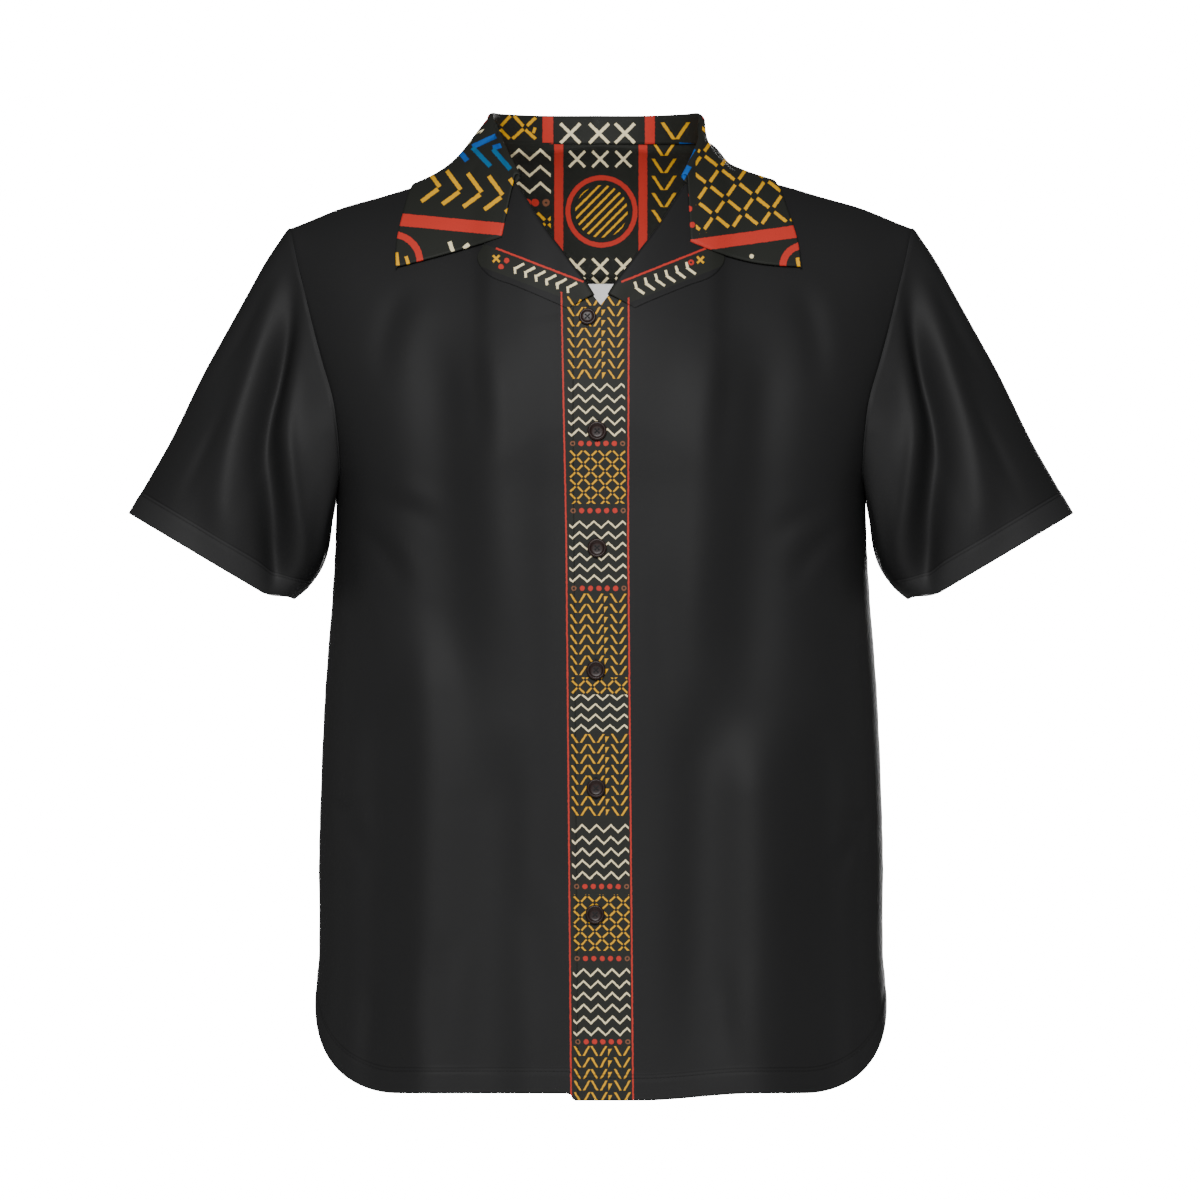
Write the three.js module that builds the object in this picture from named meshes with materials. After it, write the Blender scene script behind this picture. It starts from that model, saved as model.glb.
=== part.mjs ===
// A short-sleeved camp-collar shirt, filled out as if worn, with nothing inside it.
// Millimetres, +Z up. The front faces -Y, and +X is the wearer's left.
// The origin lies midway between the two neck points, where the shirt hangs on the shoulders.

import * as THREE from 'three';

// Cloth
const clothThick = 1.4;
const facingThick = 1.5;
const yokeThick = 1.1;
const collarThick = 1.8;
const seamGap = 0.3;

// Shoulders and neck
const neckHalf = 80;
const neckPointX = 82;
const shoulderX = 243;
const shoulderSlope = 0.345;
const shoulderRound = 25;
const neckRise = 42;
const neckRiseSpread = 75;
const napeDepth = 75;
const neckBackShare = 0.7;

// Torso sections: how square they are, and how far below the shoulders they reach full depth
const sectionPower = 2.6;
const profiles = {
  front: { side: -1, drop: 250, power: 1.7, powerMiddle: 1.7 },
  back: { side: 1, drop: 190, power: 1.7, powerMiddle: 2.35 },
};
const powerSpread = 170;
const torsoSections = [
  { z: 40, halfWidth: 268, front: 128, back: 116 },
  { z: -57, halfWidth: 256, front: 128, back: 116 },
  { z: -129, halfWidth: 240, front: 128, back: 116 },
  { z: -189, halfWidth: 225, front: 129, back: 116 },
  { z: -235, halfWidth: 213, front: 130, back: 116 },
  { z: -262, halfWidth: 207.5, front: 130, back: 116 },
  { z: -300, halfWidth: 207.6, front: 131, back: 115 },
  { z: -347, halfWidth: 210.2, front: 132, back: 114 },
  { z: -425, halfWidth: 216, front: 133, back: 113 },
  { z: -542, halfWidth: 220.4, front: 134, back: 115 },
  { z: -620, halfWidth: 220.4, front: 135, back: 118 },
  { z: -667, halfWidth: 223.5, front: 136, back: 120 },
  { z: -750, halfWidth: 228, front: 138, back: 123 },
];

// Shirt-tail hem: level in the middle, rising to the side seams
const hemFront = -731.5;
const hemTopFrontDrop = 5.5;
const hemDropEnd = 120;
const hemDropFade = 90;
const hemBack = -731;
const hemSideRise = 77;
const hemRiseStart = Math.PI / 4;
const hemRisePower = 1.8;

// Front edges. Each front runs past the middle by the lap.
const lapAtHem = 18;
const lapAtTop = 22;
const lapGap = 0.8;
const lapSinkFrom = 62;
const lapSinkTo = 32;

// The armhole seam, from the underarm to the shoulder.
// Turn is the angle round the section, in degrees from the centre.
const armholeRows = [
  { z: -262, turn: 90 },
  { z: -259, turn: 82.5 },
  { z: -251, turn: 77.5 },
  { z: -236, turn: 74 },
  { z: -212, turn: 70.6 },
  { z: -189, turn: 68.9 },
  { z: -160, turn: 69.9 },
  { z: -129, turn: 70.6 },
  { z: -95, turn: 71 },
  { z: -57, turn: 71.7 },
];
const armholeSteps = 16;
const rowsBelowArmhole = 13;
const frontColumns = 17;
const backShoulderColumns = 9;
const backNeckColumns = 6;
const fineSteps = 120;

// The front's top corner beside the first button, and the roll line from there to the neck point
const frontEdgeAtUnderarm = -205;
const frontCorner = { x: -lapAtTop, z: -118.8 };
const frontCornerStation = 5;
const rollLine = [
  { x: -2, z: -117.4 },
  { x: 13.3, z: -98.3 },
  { x: 27.5, z: -80 },
  { x: 40, z: -63.5 },
  { x: 51.5, z: -46.5 },
  { x: 61, z: -31.5 },
  { x: 70, z: -17 },
  { x: 77, z: -2 },
  { x: neckPointX, z: 8 },
];

// Drape folds of the torso. Depth is outwards, so a trough is below zero.
const torsoFolds = [
  { panel: 'front', xTop: -92, xFoot: -68, zTop: -120, zFoot: -430, width: 24, depth: 5 },
  { panel: 'front', xTop: -128, xFoot: -112, zTop: -120, zFoot: -500, width: 24, depth: -6 },
  { panel: 'front', xTop: 92, xFoot: 66, zTop: -120, zFoot: -440, width: 24, depth: 5 },
  { panel: 'front', xTop: 128, xFoot: 110, zTop: -120, zFoot: -500, width: 24, depth: -6 },
  { panel: 'front', xTop: -172, xFoot: -180, zTop: -400, zFoot: -900, width: 19, depth: -9 },
  { panel: 'front', xTop: -135, xFoot: -146, zTop: -350, zFoot: -900, width: 24, depth: 7 },
  { panel: 'front', xTop: -80, xFoot: -86, zTop: -440, zFoot: -900, width: 24, depth: -5 },
  { panel: 'front', xTop: 84, xFoot: 74, zTop: -400, zFoot: -760, width: 24, depth: -6 },
  { panel: 'front', xTop: 122, xFoot: 130, zTop: -430, zFoot: -900, width: 26, depth: 7 },
  { panel: 'front', xTop: 172, xFoot: 184, zTop: -420, zFoot: -900, width: 19, depth: -9 },
  { panel: 'back', xTop: -156, xFoot: -168, zTop: -250, zFoot: -900, width: 24, depth: -9 },
  { panel: 'back', xTop: -112, xFoot: -118, zTop: -220, zFoot: -900, width: 28, depth: 6 },
  { panel: 'back', xTop: -60, xFoot: -70, zTop: -380, zFoot: -900, width: 26, depth: -6 },
  { panel: 'back', xTop: 12, xFoot: 6, zTop: -420, zFoot: -900, width: 30, depth: 5 },
  { panel: 'back', xTop: 66, xFoot: 78, zTop: -330, zFoot: -900, width: 26, depth: -6 },
  { panel: 'back', xTop: 112, xFoot: 124, zTop: -230, zFoot: -900, width: 28, depth: 6 },
  { panel: 'back', xTop: 156, xFoot: 170, zTop: -260, zFoot: -900, width: 23, depth: -9 },
];
const foldFade = 70;
const foldSideFade = 0.93;

// Sleeves: the cuff is an oval, seen edge-on from the front. Fall is the angle below level at which the
// cloth leaves the armhole, in degrees. Tuck draws the underside in close to the body.
const cuffOuter = { x: 369, z: -279.5 };
const cuffInner = { x: 240, z: -356 };
const cuffHalfDepth = 53;
const cuffBottomLift = 9.5;
const cuffLiftFrom = 0.8;
const cuffPower = 2.2;
const sleeveRings = 9;
const sleeveFall = { top: 61, middle: 50, bottom: 84 };
const sleeveLeaves = 62;
const sleeveArrives = 84;
const sleeveTuck = { from: 0.55, arrives: 0.75, leaves: 0.35, x: 21, z: 4.4 };
const sleeveSeamLift = 0.5;
const sleeveSeamLiftTo = 0.2;
const sleeveFoldFade = 0.3;
const sleeveFolds = [
  { turn: 52, width: 13, depth: -8, from: 0.06, to: 1.1 },
  { turn: 30, width: 12, depth: 4, from: 0.1, to: 1.1 },
  { turn: 78, width: 13, depth: 4, from: 0.1, to: 0.95 },
  { turn: 128, width: 15, depth: -4, from: 0.3, to: 0.98 },
  { turn: 235, width: 15, depth: -6, from: 0.15, to: 1.1 },
  { turn: 300, width: 16, depth: -5, from: 0.1, to: 0.95 },
];

// The inner yoke hangs inside the back, from this armhole station up, and stops short of its seams
const yokeStation = 13;
const yokeSideColumns = 2;

// The turned-back facings. Roll is on the neck edge, tip on the free edge.
const facingSections = [
  { rollX: 6, rollZ: -110, tipX: 26.5, tipZ: -119.5 },
  { rollX: 13.3, rollZ: -98.3, tipX: 29, tipZ: -118.3 },
  { rollX: 22, rollZ: -87, tipX: 37, tipZ: -114.7 },
  { rollX: 31, rollZ: -75, tipX: 52, tipZ: -108.5 },
  { rollX: 41, rollZ: -62.2, tipX: 68, tipZ: -102 },
  { rollX: 50, rollZ: -49, tipX: 86, tipZ: -95 },
  { rollX: 57, rollZ: -38, tipX: 96, tipZ: -82.5 },
  { rollX: 61.5, rollZ: -30.7, tipX: 92, tipZ: -72 },
  { rollX: 66, rollZ: -23.4, tipX: 79, tipZ: -59 },
];
const facingLift = { roll: 2.0, tip: 0.4 };
const facingColumns = 6;
const facingRows = 12;

// The collar, from the nape to its front end: its roll line, its outer edge before it is laid on the shirt,
// how far its fall hollows towards the neck, and how far its end bends out at the notch
const collarStations = [
  { neck: 0, rollX: 0, rollY: 80, rollZ: 32, edgeX: 0, edgeY: 97, edgeZ: -15, hollow: 0, bend: 0 },
  { neck: 0.25, rollX: 43, rollY: 69, rollZ: 32, edgeX: 57, edgeY: 90, edgeZ: -17, hollow: 2, bend: 0 },
  { neck: 0.47, rollX: 71, rollY: 45, rollZ: 33, edgeX: 102, edgeY: 66, edgeZ: -20, hollow: 8, bend: 0 },
  { neck: 0.66, rollX: 82, rollY: 17, rollZ: 33, edgeX: 131, edgeY: 28, edgeZ: -22, hollow: 16, bend: 0 },
  { neck: 0.78, rollX: 81, rollY: 0, rollZ: 22, edgeX: 141, edgeY: -6, edgeZ: -26, hollow: 13, bend: 0 },
  { neck: 0.86, rollX: 77, rollY: -15, rollZ: 7, edgeX: 149, edgeY: -33, edgeZ: -44, hollow: 5, bend: 0.08 },
  { neck: 0.93, rollX: 71, rollY: -31, rollZ: -9.5, edgeX: 157, edgeY: -52, edgeZ: -67, hollow: 0, bend: .4 },
  { neck: 1, rollX: 64.6, rollY: -47, rollZ: -25, edgeX: 160, edgeY: -62, edgeZ: -87, hollow: 0, bend: 1 },
];
// The whole collar leans a little to the wearer's right, less at its front ends.
const collarLean = [
  { roll: -6, edge: -6 },
  { roll: -6, edge: -7 },
  { roll: -1, edge: -5 },
  { roll: 0, edge: -2 },
];
const collarHalfSteps = 19;
const collarNotch = { x: -16.3, z: -17.4, at: 0.3 };
const collarRollRadius = 2.9;
const collarRollLift = 8.3;
const collarFrontFrom = 0.55;
const collarEdgeLift = { back: 1.2, front: 2.4 };
const collarUnderLift = 3.0;
const collarSeatGap = 1.1;
const collarFallSteps = 7;
const collarStandSteps = 2;
const collarRollSteps = 3;

// Buttons, from the top one down
const buttonRows = [
  { x: -10.5, z: -126.5, radius: 6.7 },
  { x: -3.1, z: -215.3, radius: 7.5 },
  { x: -3.1, z: -306.5, radius: 7.5 },
  { x: -3.9, z: -401.7, radius: 7.5 },
  { x: -3.9, z: -493.7, radius: 7.5 },
  { x: -4.7, z: -592, radius: 7.5 },
];
const buttonThick = 3;
const buttonDish = 1;
const buttonRim = 1.8;
const buttonRound = 0.7;
const buttonSides = 16;
const buttonLift = 0.5;

const clothColour = 0x2a2a2a;
const printColour = 0x34342f;
const buttonColour = 0x3a2620;

const cloth = new THREE.MeshStandardMaterial({ color: clothColour, roughness: 0.62, metalness: 0 });
const print = new THREE.MeshStandardMaterial({ color: printColour, roughness: 0.65, metalness: 0 });
const horn = new THREE.MeshStandardMaterial({ color: buttonColour, roughness: 0.3, metalness: 0 });

const vec = (x, y, z) => new THREE.Vector3(x, y, z);
const mix = (a, b, t) => a + (b - a) * t;
const clamp01 = (t) => Math.min(1, Math.max(0, t));
const smooth = (t) => clamp01(t) ** 2 * (3 - 2 * clamp01(t));
const radians = (degrees) => (degrees * Math.PI) / 180;
const nearlyOne = 1 - 1e-12;
const steps = (count) => Array.from({ length: count + 1 }, (_, i) => i / count);
const slopeOf = (f, at, step = 0.05) => (f(at + step) - f(at - step)) / (2 * step);

// A smooth curve through four values, for t from 0 to 1 between the middle two.
function through(a, b, c, d, t) {
  const tangentB = (c - a) / 2;
  const tangentC = (d - b) / 2;
  const t2 = t * t;
  const t3 = t2 * t;
  return (2 * t3 - 3 * t2 + 1) * b + (t3 - 2 * t2 + t) * tangentB
    + (3 * t2 - 2 * t3) * c + (t3 - t2) * tangentC;
}

// The named columns of a table at a share of the way down its rows, as a smooth curve.
function along(rows, share) {
  const place = clamp01(share) * (rows.length - 1);
  const i = Math.min(rows.length - 2, Math.floor(place));
  const row = (k) => rows[Math.min(rows.length - 1, Math.max(0, k))];
  const out = {};
  for (const key of Object.keys(rows[0])) {
    if (typeof rows[0][key] !== 'number') continue;
    const before = i > 0 ? row(i - 1)[key] : 2 * row(0)[key] - row(1)[key];
    const last = rows.length - 1;
    const after = i < last - 1 ? row(i + 2)[key] : 2 * row(last)[key] - row(last - 1)[key];
    out[key] = through(before, row(i)[key], row(i + 1)[key], after, place - i);
  }
  return out;
}

// One column of the torso sections as a function of height.
function sectionColumn(name) {
  const rows = torsoSections;
  const slopeAt = (i) => {
    const a = rows[Math.max(0, i - 1)];
    const b = rows[Math.min(rows.length - 1, i + 1)];
    return (b[name] - a[name]) / (b.z - a.z);
  };
  return (z) => {
    let i = 0;
    while (i < rows.length - 2 && z < rows[i + 1].z) i += 1;
    const span = rows[i + 1].z - rows[i].z;
    const t = clamp01((z - rows[i].z) / span);
    const t2 = t * t;
    const t3 = t2 * t;
    return (2 * t3 - 3 * t2 + 1) * rows[i][name] + (t3 - 2 * t2 + t) * span * slopeAt(i)
      + (3 * t2 - 2 * t3) * rows[i + 1][name] + (t3 - t2) * span * slopeAt(i + 1);
  };
}
const halfWidthAt = sectionColumn('halfWidth');
const depthAt = { front: sectionColumn('front'), back: sectionColumn('back') };

// The height of the shoulder line, which the cloth would follow on up inside the neck.
function shoulderHeight(x) {
  const past = Math.abs(x) - neckHalf;
  const slope = (-shoulderSlope * (Math.hypot(past, shoulderRound) + past)) / 2;
  return slope + neckRise * Math.exp(-((x / neckRiseSpread) ** 2));
}

// How square the cloth is over the shoulders, from the middle of the panel outwards.
function powerAt(panel, x) {
  return mix(profiles[panel].powerMiddle, profiles[panel].power, smooth(Math.abs(x) / powerSpread));
}

// How far the drape folds stand out of the plain torso.
function foldDepth(panel, x, z) {
  let depth = 0;
  for (const fold of torsoFolds) {
    if (fold.panel !== panel) continue;
    const t = (fold.zTop - z) / (fold.zTop - fold.zFoot);
    const middle = mix(fold.xTop, fold.xFoot, clamp01(t));
    const fade = smooth((fold.zTop - z) / foldFade) * smooth((z - fold.zFoot) / (2 * foldFade));
    depth += fold.depth * fade * Math.exp(-(((x - middle) / fold.width) ** 2));
  }
  const across = Math.abs(x) / halfWidthAt(z);
  return depth * smooth((1 - across) / (1 - foldSideFade));
}

// The torso cloth at a place on the front or back: its point and its outward normal.
function skin(panel, x, z, lift = 0) {
  const { side, drop } = profiles[panel];
  const power = powerAt(panel, x);
  const width = halfWidthAt(z);
  const depth = depthAt[panel](z);
  const share = Math.min(nearlyOne, Math.abs(x) / width);
  const round = (1 - share ** sectionPower) ** (1 / sectionPower);
  const down = Math.max(1 - nearlyOne, clamp01((shoulderHeight(x) - z) / drop));
  const reach = (1 - (1 - down) ** power) ** (1 / power);
  const roundSlope = share > 0
    ? -(share ** (sectionPower - 1)) * (1 - share ** sectionPower) ** (1 / sectionPower - 1) : 0;
  const reachSlope = down < 1
    ? (1 - down) ** (power - 1) * (1 - (1 - down) ** power) ** (1 / power - 1) : 0;
  const ridgeSlope = slopeOf(shoulderHeight, x);
  const widthSlope = slopeOf(halfWidthAt, z);
  const depthSlope = slopeOf(depthAt[panel], z);
  const out = depth * round * reach + foldDepth(panel, x, z);
  const outByX = depth * (roundSlope * (Math.sign(x) / width) * reach
    + (round * reachSlope * ridgeSlope) / drop) + slopeOf((at) => foldDepth(panel, at, z), x);
  const outByZ = depthSlope * round * reach
    + depth * (roundSlope * ((-share * widthSlope) / width) * reach - (round * reachSlope) / drop)
    + slopeOf((at) => foldDepth(panel, x, at), z);
  const normal = vec(-outByX, side, -outByZ).normalize();
  return { point: vec(x, side * out, z).addScaledVector(normal, lift), normal, x, z };
}

// The height at which the cloth stands a given distance out of the shoulder line's plane.
function heightAtDepth(panel, x, out) {
  const { drop } = profiles[panel];
  const power = powerAt(panel, x);
  let z = shoulderHeight(x);
  for (let i = 0; i < 4; i += 1) {
    const share = Math.min(1, Math.abs(x) / halfWidthAt(z));
    const round = (1 - share ** sectionPower) ** (1 / sectionPower);
    const reach = Math.min(1, out / (depthAt[panel](z) * round));
    z = shoulderHeight(x) - drop * (1 - (1 - reach ** power) ** (1 / power));
  }
  return z;
}

// The x at which the cloth of a section comes to within half a seam gap of the side seam.
function sideEdgeX(panel, z) {
  const near = seamGap / 2 / depthAt[panel](z);
  return halfWidthAt(z) * (1 - near ** sectionPower) ** (1 / sectionPower);
}

// How far a place lies outside the torso, measured roughly along the normal, and that normal.
function clearance(point) {
  const panel = point.y < 0 ? 'front' : 'back';
  const height = (x, y) => heightAtDepth(panel, x, Math.abs(y));
  const step = 0.2;
  const here = height(point.x, point.y);
  const byX = (height(point.x + step, point.y) - height(point.x - step, point.y)) / (2 * step);
  const outward = point.y < 0 ? -1 : 1;
  const away = (height(point.x, point.y + outward * step) - here) / (outward * step);
  const normal = vec(-byX, -away, 1);
  const distance = (point.z - here) / normal.length();
  return { distance, normal: normal.normalize() };
}
function laidAt(point, lift) {
  const out = point.clone();
  for (let i = 0; i < 5; i += 1) {
    const { distance, normal } = clearance(out);
    out.addScaledVector(normal, lift - distance);
  }
  return out;
}
function keptOutside(point, lift) {
  return clearance(point).distance < lift ? laidAt(point, lift) : point;
}

// A closed wall between an outer and an inner grid of points. A tube's last column joins its first.
function wall(outer, inner, isTube = false) {
  const rows = outer.length;
  const columns = outer[0].length;
  const points = [...outer.flat(), ...inner.flat()];
  const layer = rows * columns;
  const faces = [];
  const at = (onInner, r, c) => (onInner ? layer : 0) + r * columns + (c % columns);
  const quad = (a, b, c, d) => faces.push([a, b, c], [a, c, d]);
  const lastColumn = isTube ? columns : columns - 1;
  for (let r = 0; r < rows - 1; r += 1) {
    for (let c = 0; c < lastColumn; c += 1) {
      quad(at(0, r, c), at(0, r, c + 1), at(0, r + 1, c + 1), at(0, r + 1, c));
      quad(at(1, r, c), at(1, r + 1, c), at(1, r + 1, c + 1), at(1, r, c + 1));
    }
  }
  for (let c = 0; c < lastColumn; c += 1) {
    quad(at(0, 0, c), at(1, 0, c), at(1, 0, c + 1), at(0, 0, c + 1));
    quad(at(0, rows - 1, c), at(0, rows - 1, c + 1), at(1, rows - 1, c + 1), at(1, rows - 1, c));
  }
  if (!isTube) {
    const end = columns - 1;
    for (let r = 0; r < rows - 1; r += 1) {
      quad(at(0, r, 0), at(0, r + 1, 0), at(1, r + 1, 0), at(1, r, 0));
      quad(at(0, r, end), at(1, r, end), at(1, r + 1, end), at(0, r + 1, end));
    }
  }
  return closedGeometry(points, faces);
}

// A geometry from points and faces, turned over if its faces point inwards.
function closedGeometry(points, faces) {
  let volume = 0;
  for (const [a, b, c] of faces) {
    volume += points[a].dot(vec(0, 0, 0).crossVectors(points[b], points[c]));
  }
  const index = volume > 0 ? faces.flat() : faces.flatMap(([a, b, c]) => [a, c, b]);
  const geometry = new THREE.BufferGeometry();
  geometry.setAttribute('position', new THREE.Float32BufferAttribute(points.flatMap((p) => p.toArray()), 3));
  geometry.setIndex(index);
  geometry.computeVertexNormals();
  return geometry;
}

// The outward normals of a grid of points, from its neighbours.
function gridNormals(grid) {
  const rows = grid.length;
  const columns = grid[0].length;
  return grid.map((row, r) => row.map((_, c) => {
    const alongRow = vec(0, 0, 0).subVectors(
      grid[r][Math.min(columns - 1, c + 1)], grid[r][Math.max(0, c - 1)]);
    const acrossRows = vec(0, 0, 0).subVectors(
      grid[Math.min(rows - 1, r + 1)][c], grid[Math.max(0, r - 1)][c]);
    return alongRow.cross(acrossRows).normalize();
  }));
}

// The armhole seam's stations, evenly spaced from the underarm to the shoulder.
function armholeStations() {
  const fine = steps(fineSteps).map((t) => {
    const { z, turn } = along(armholeRows, t);
    return skin('front', halfWidthAt(z) * Math.sin(radians(turn)), z);
  });
  return evenRow(fine, armholeSteps).map((place, k) => ({ ...place, share: k / armholeSteps }));
}
const armhole = armholeStations();

// Where the armhole seam lies on the front or back panel, with the panel's own half of the seam gap.
function armholeEdge(panel, station) {
  if (station.share === 0) return { x: sideEdgeX(panel, station.z), z: station.z };
  if (station.share === 1) return { x: shoulderX, z: heightAtDepth(panel, shoulderX, seamGap / 2) };
  return { x: station.x, z: station.z };
}

// The direction in which the walls of sleeve and body meet at an armhole station.
function mitre(bodyNormal, sleeveNormal) {
  return vec(0, 0, 0).addVectors(bodyNormal, sleeveNormal).normalize();
}

// The hem's height at an angle round the section, with x to tell the lapped fronts apart.
function hemHeight(panel, turn, x) {
  const toSide = (Math.abs(turn) - hemRiseStart) / (Math.PI / 2 - hemRiseStart);
  const rise = hemSideRise * clamp01(toSide) ** hemRisePower;
  const onTopFront = panel === 'front' && x > -lapAtTop;
  const drop = onTopFront ? hemTopFrontDrop * smooth((hemDropEnd - x) / hemDropFade) : 0;
  return (panel === 'front' ? hemFront : hemBack) + rise - drop;
}

// A row of places from a start to an end, spaced evenly over the cloth.
function evenRow(places, columns) {
  const lengths = [0];
  for (let i = 1; i < places.length; i += 1) {
    lengths.push(lengths[i - 1] + places[i].point.distanceTo(places[i - 1].point));
  }
  const total = lengths[lengths.length - 1];
  return steps(columns).map((share) => {
    const goal = share * total;
    let i = 1;
    while (i < lengths.length - 1 && lengths[i] < goal) i += 1;
    const t = clamp01((goal - lengths[i - 1]) / (lengths[i] - lengths[i - 1]));
    return { x: mix(places[i - 1].x, places[i].x, t), z: mix(places[i - 1].z, places[i].z, t) };
  });
}

// The height of a row that keeps its distance below the shoulder line, from one end to the other.
function rowHeight(start, end, x, t) {
  const startDrop = start.z - shoulderHeight(start.x);
  const endDrop = end.z - shoulderHeight(end.x);
  return shoulderHeight(x) + mix(startDrop, endDrop, t);
}

// Places across a front, from its front edge to its side, on the wearer's left. Mirrored by the caller.
function frontRow(hand, start, end, heightAt) {
  const startTurn = Math.asin(start.x / halfWidthAt(start.z));
  const endTurn = Math.asin(Math.min(1, end.x / halfWidthAt(end.z)));
  return steps(fineSteps).map((t) => {
    const turn = mix(startTurn, endTurn, t);
    const guess = halfWidthAt(mix(start.z, end.z, t)) * Math.sin(turn);
    const z = t === 1 ? end.z : heightAt(guess, t, turn);
    const x = t === 1 ? end.x : halfWidthAt(z) * Math.sin(turn);
    return { ...skin('front', hand * x, z), x, z };
  });
}

// Where the front edge lies at an armhole station: up to its corner, and then along the roll line.
function frontEdge(k) {
  if (k <= frontCornerStation) {
    return { x: frontCorner.x, z: mix(frontEdgeAtUnderarm, frontCorner.z, k / frontCornerStation) };
  }
  return along(rollLine, (k - frontCornerStation - 1) / (armholeSteps - frontCornerStation - 1));
}

// The under front sinks behind the top one near the middle.
const lapSink = (hand, x) => (hand > 0 ? 0
  : -(clothThick + lapGap) * smooth((lapSinkFrom - x) / (lapSinkFrom - lapSinkTo)));

function frontPanel(hand) {
  const outer = [];
  const inner = [];
  const addRow = (places, mitres) => {
    const row = evenRow(places, frontColumns).map(({ x, z }) => {
      const here = skin('front', hand * x, z);
      here.point.addScaledVector(here.normal, lapSink(hand, x));
      return here;
    });
    outer.push(row.map((p) => p.point));
    inner.push(row.map((p, i) => {
      const inward = mitres && i === row.length - 1 ? mitres : p.normal;
      return p.point.clone().addScaledVector(inward, -clothThick / inward.dot(p.normal));
    }));
  };
  const underarmRow = frontEdge(0);
  for (const share of steps(rowsBelowArmhole).slice(0, -1)) {
    const startX = -mix(lapAtHem, lapAtTop, share);
    const sideZ = mix(hemHeight('front', Math.PI / 2, hand * halfWidthAt(hemFront)), armhole[0].z, share);
    const heightAt = (x, t, turn) => {
      const hem = hemHeight('front', turn, hand * x);
      return mix(hem, rowHeight(underarmRow, armhole[0], x, t), share);
    };
    const end = { x: sideEdgeX('front', sideZ), z: sideZ };
    const start = { x: startX, z: heightAt(startX, 0, 0) };
    addRow(frontRow(hand, start, end, heightAt));
  }
  armhole.forEach((station, k) => {
    const end = armholeEdge('front', station);
    const start = frontEdge(k);
    if (k === armholeSteps) {
      const places = steps(fineSteps).map((t) => {
        const x = mix(neckPointX, shoulderX, t);
        const z = heightAtDepth('front', x, seamGap / 2);
        return { ...skin('front', hand * x, z), x, z };
      });
      addRow(places, seamMitre('front', hand, station));
    } else {
      const heightAt = (x, t) => rowHeight(start, end, x, t);
      addRow(frontRow(hand, start, end, heightAt), seamMitre('front', hand, station));
    }
  });
  return wall(outer, inner);
}

// The back's places, row by row from the hem to the shoulders. A row at an armhole station names it.
function backRows() {
  const neckTurn = Math.asin(neckPointX / shoulderX);
  const half = [
    ...steps(backNeckColumns).map((t) => t * neckTurn),
    ...steps(backShoulderColumns).slice(1).map((t) => mix(neckTurn, Math.PI / 2, t)),
  ];
  const turns = [...half.slice(1).reverse().map((t) => -t), ...half];
  const yokeFoot = armhole[yokeStation].z;
  const rows = steps(rowsBelowArmhole).slice(0, -1).map((share) => {
    const sideZ = mix(hemHeight('back', Math.PI / 2, 0), armhole[0].z, share);
    const edge = sideEdgeX('back', sideZ);
    const places = turns.map((turn) => skin('back', edge * Math.sin(turn),
      mix(hemHeight('back', turn, 0), armhole[0].z, share)));
    return { places };
  });
  armhole.forEach((station, k) => {
    const edge = armholeEdge('back', station);
    const places = turns.map((turn) => {
      const top = backTop(shoulderX * Math.sin(turn));
      const full = shoulderHeight(shoulderX) - yokeFoot;
      const z = k <= yokeStation ? station.z : mix(yokeFoot, top, (edge.z - yokeFoot) / full);
      return skin('back', edge.x * Math.sin(turn), Math.abs(turn) === Math.PI / 2 ? edge.z : z);
    });
    rows.push({ station, places });
  });
  return rows;
}

function backPanel() {
  const rows = backRows();
  const outer = rows.map(({ places }) => places.map((p) => p.point));
  const inner = rows.map(({ places, station }) => places.map((p, i) => {
    const hand = i === 0 ? -1 : 1;
    const atSeam = station && (i === 0 || i === places.length - 1);
    const inward = atSeam ? seamMitre('back', hand, station) : p.normal;
    return p.point.clone().addScaledVector(inward, -clothThick / inward.dot(p.normal));
  }));
  return wall(outer, inner);
}

// The back's top edge: the shoulder seam, and the neckline between the neck points.
function backTop(x) {
  const across = Math.min(1, Math.abs(x) / neckPointX);
  const out = Math.max(seamGap / 2, napeDepth * Math.sqrt(1 - across ** 2));
  return heightAtDepth('back', x, out);
}

// The cuff's oval at an angle from its outer end, round by the front, on the wearer's left.
function cuffPoint(turn) {
  const middleX = (cuffOuter.x + cuffInner.x) / 2;
  const middleZ = (cuffOuter.z + cuffInner.z) / 2;
  const halfX = (cuffOuter.x - cuffInner.x) / 2;
  const halfZ = (cuffOuter.z - cuffInner.z) / 2;
  const bent = (f) => Math.sign(f) * Math.abs(f) ** (2 / cuffPower);
  const wide = bent(Math.cos(turn));
  const low = (1 - Math.cos(turn)) / 2;
  const lift = cuffBottomLift * smooth((low - cuffLiftFrom) / (1 - cuffLiftFrom));
  return vec(middleX + halfX * wide, -cuffHalfDepth * bent(Math.sin(turn)), middleZ + halfZ * wide + lift);
}

// The armhole stations in order round a sleeve: from the shoulder down the front and up the back.
function sleeveStations() {
  const down = [...armhole].reverse().map((station) => ({ panel: 'front', station }));
  const up = armhole.slice(1, -1).map((station) => ({ panel: 'back', station }));
  return [...down, ...up].map((entry, i, all) => ({ ...entry, turn: (i / all.length) * 2 * Math.PI }));
}
const sleeveRound = sleeveStations();

// The point and body normal where a sleeve's station meets the armhole, on the wearer's left.
function sleeveRoot({ panel, station }) {
  const onSeam = station.share === 0 || station.share === 1;
  const edge = armholeEdge(panel, station);
  const { point, normal } = skin(panel, edge.x, edge.z);
  if (onSeam) {
    point.y = 0;
    normal.y = 0;
    normal.normalize();
  }
  return { point, normal };
}

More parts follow.
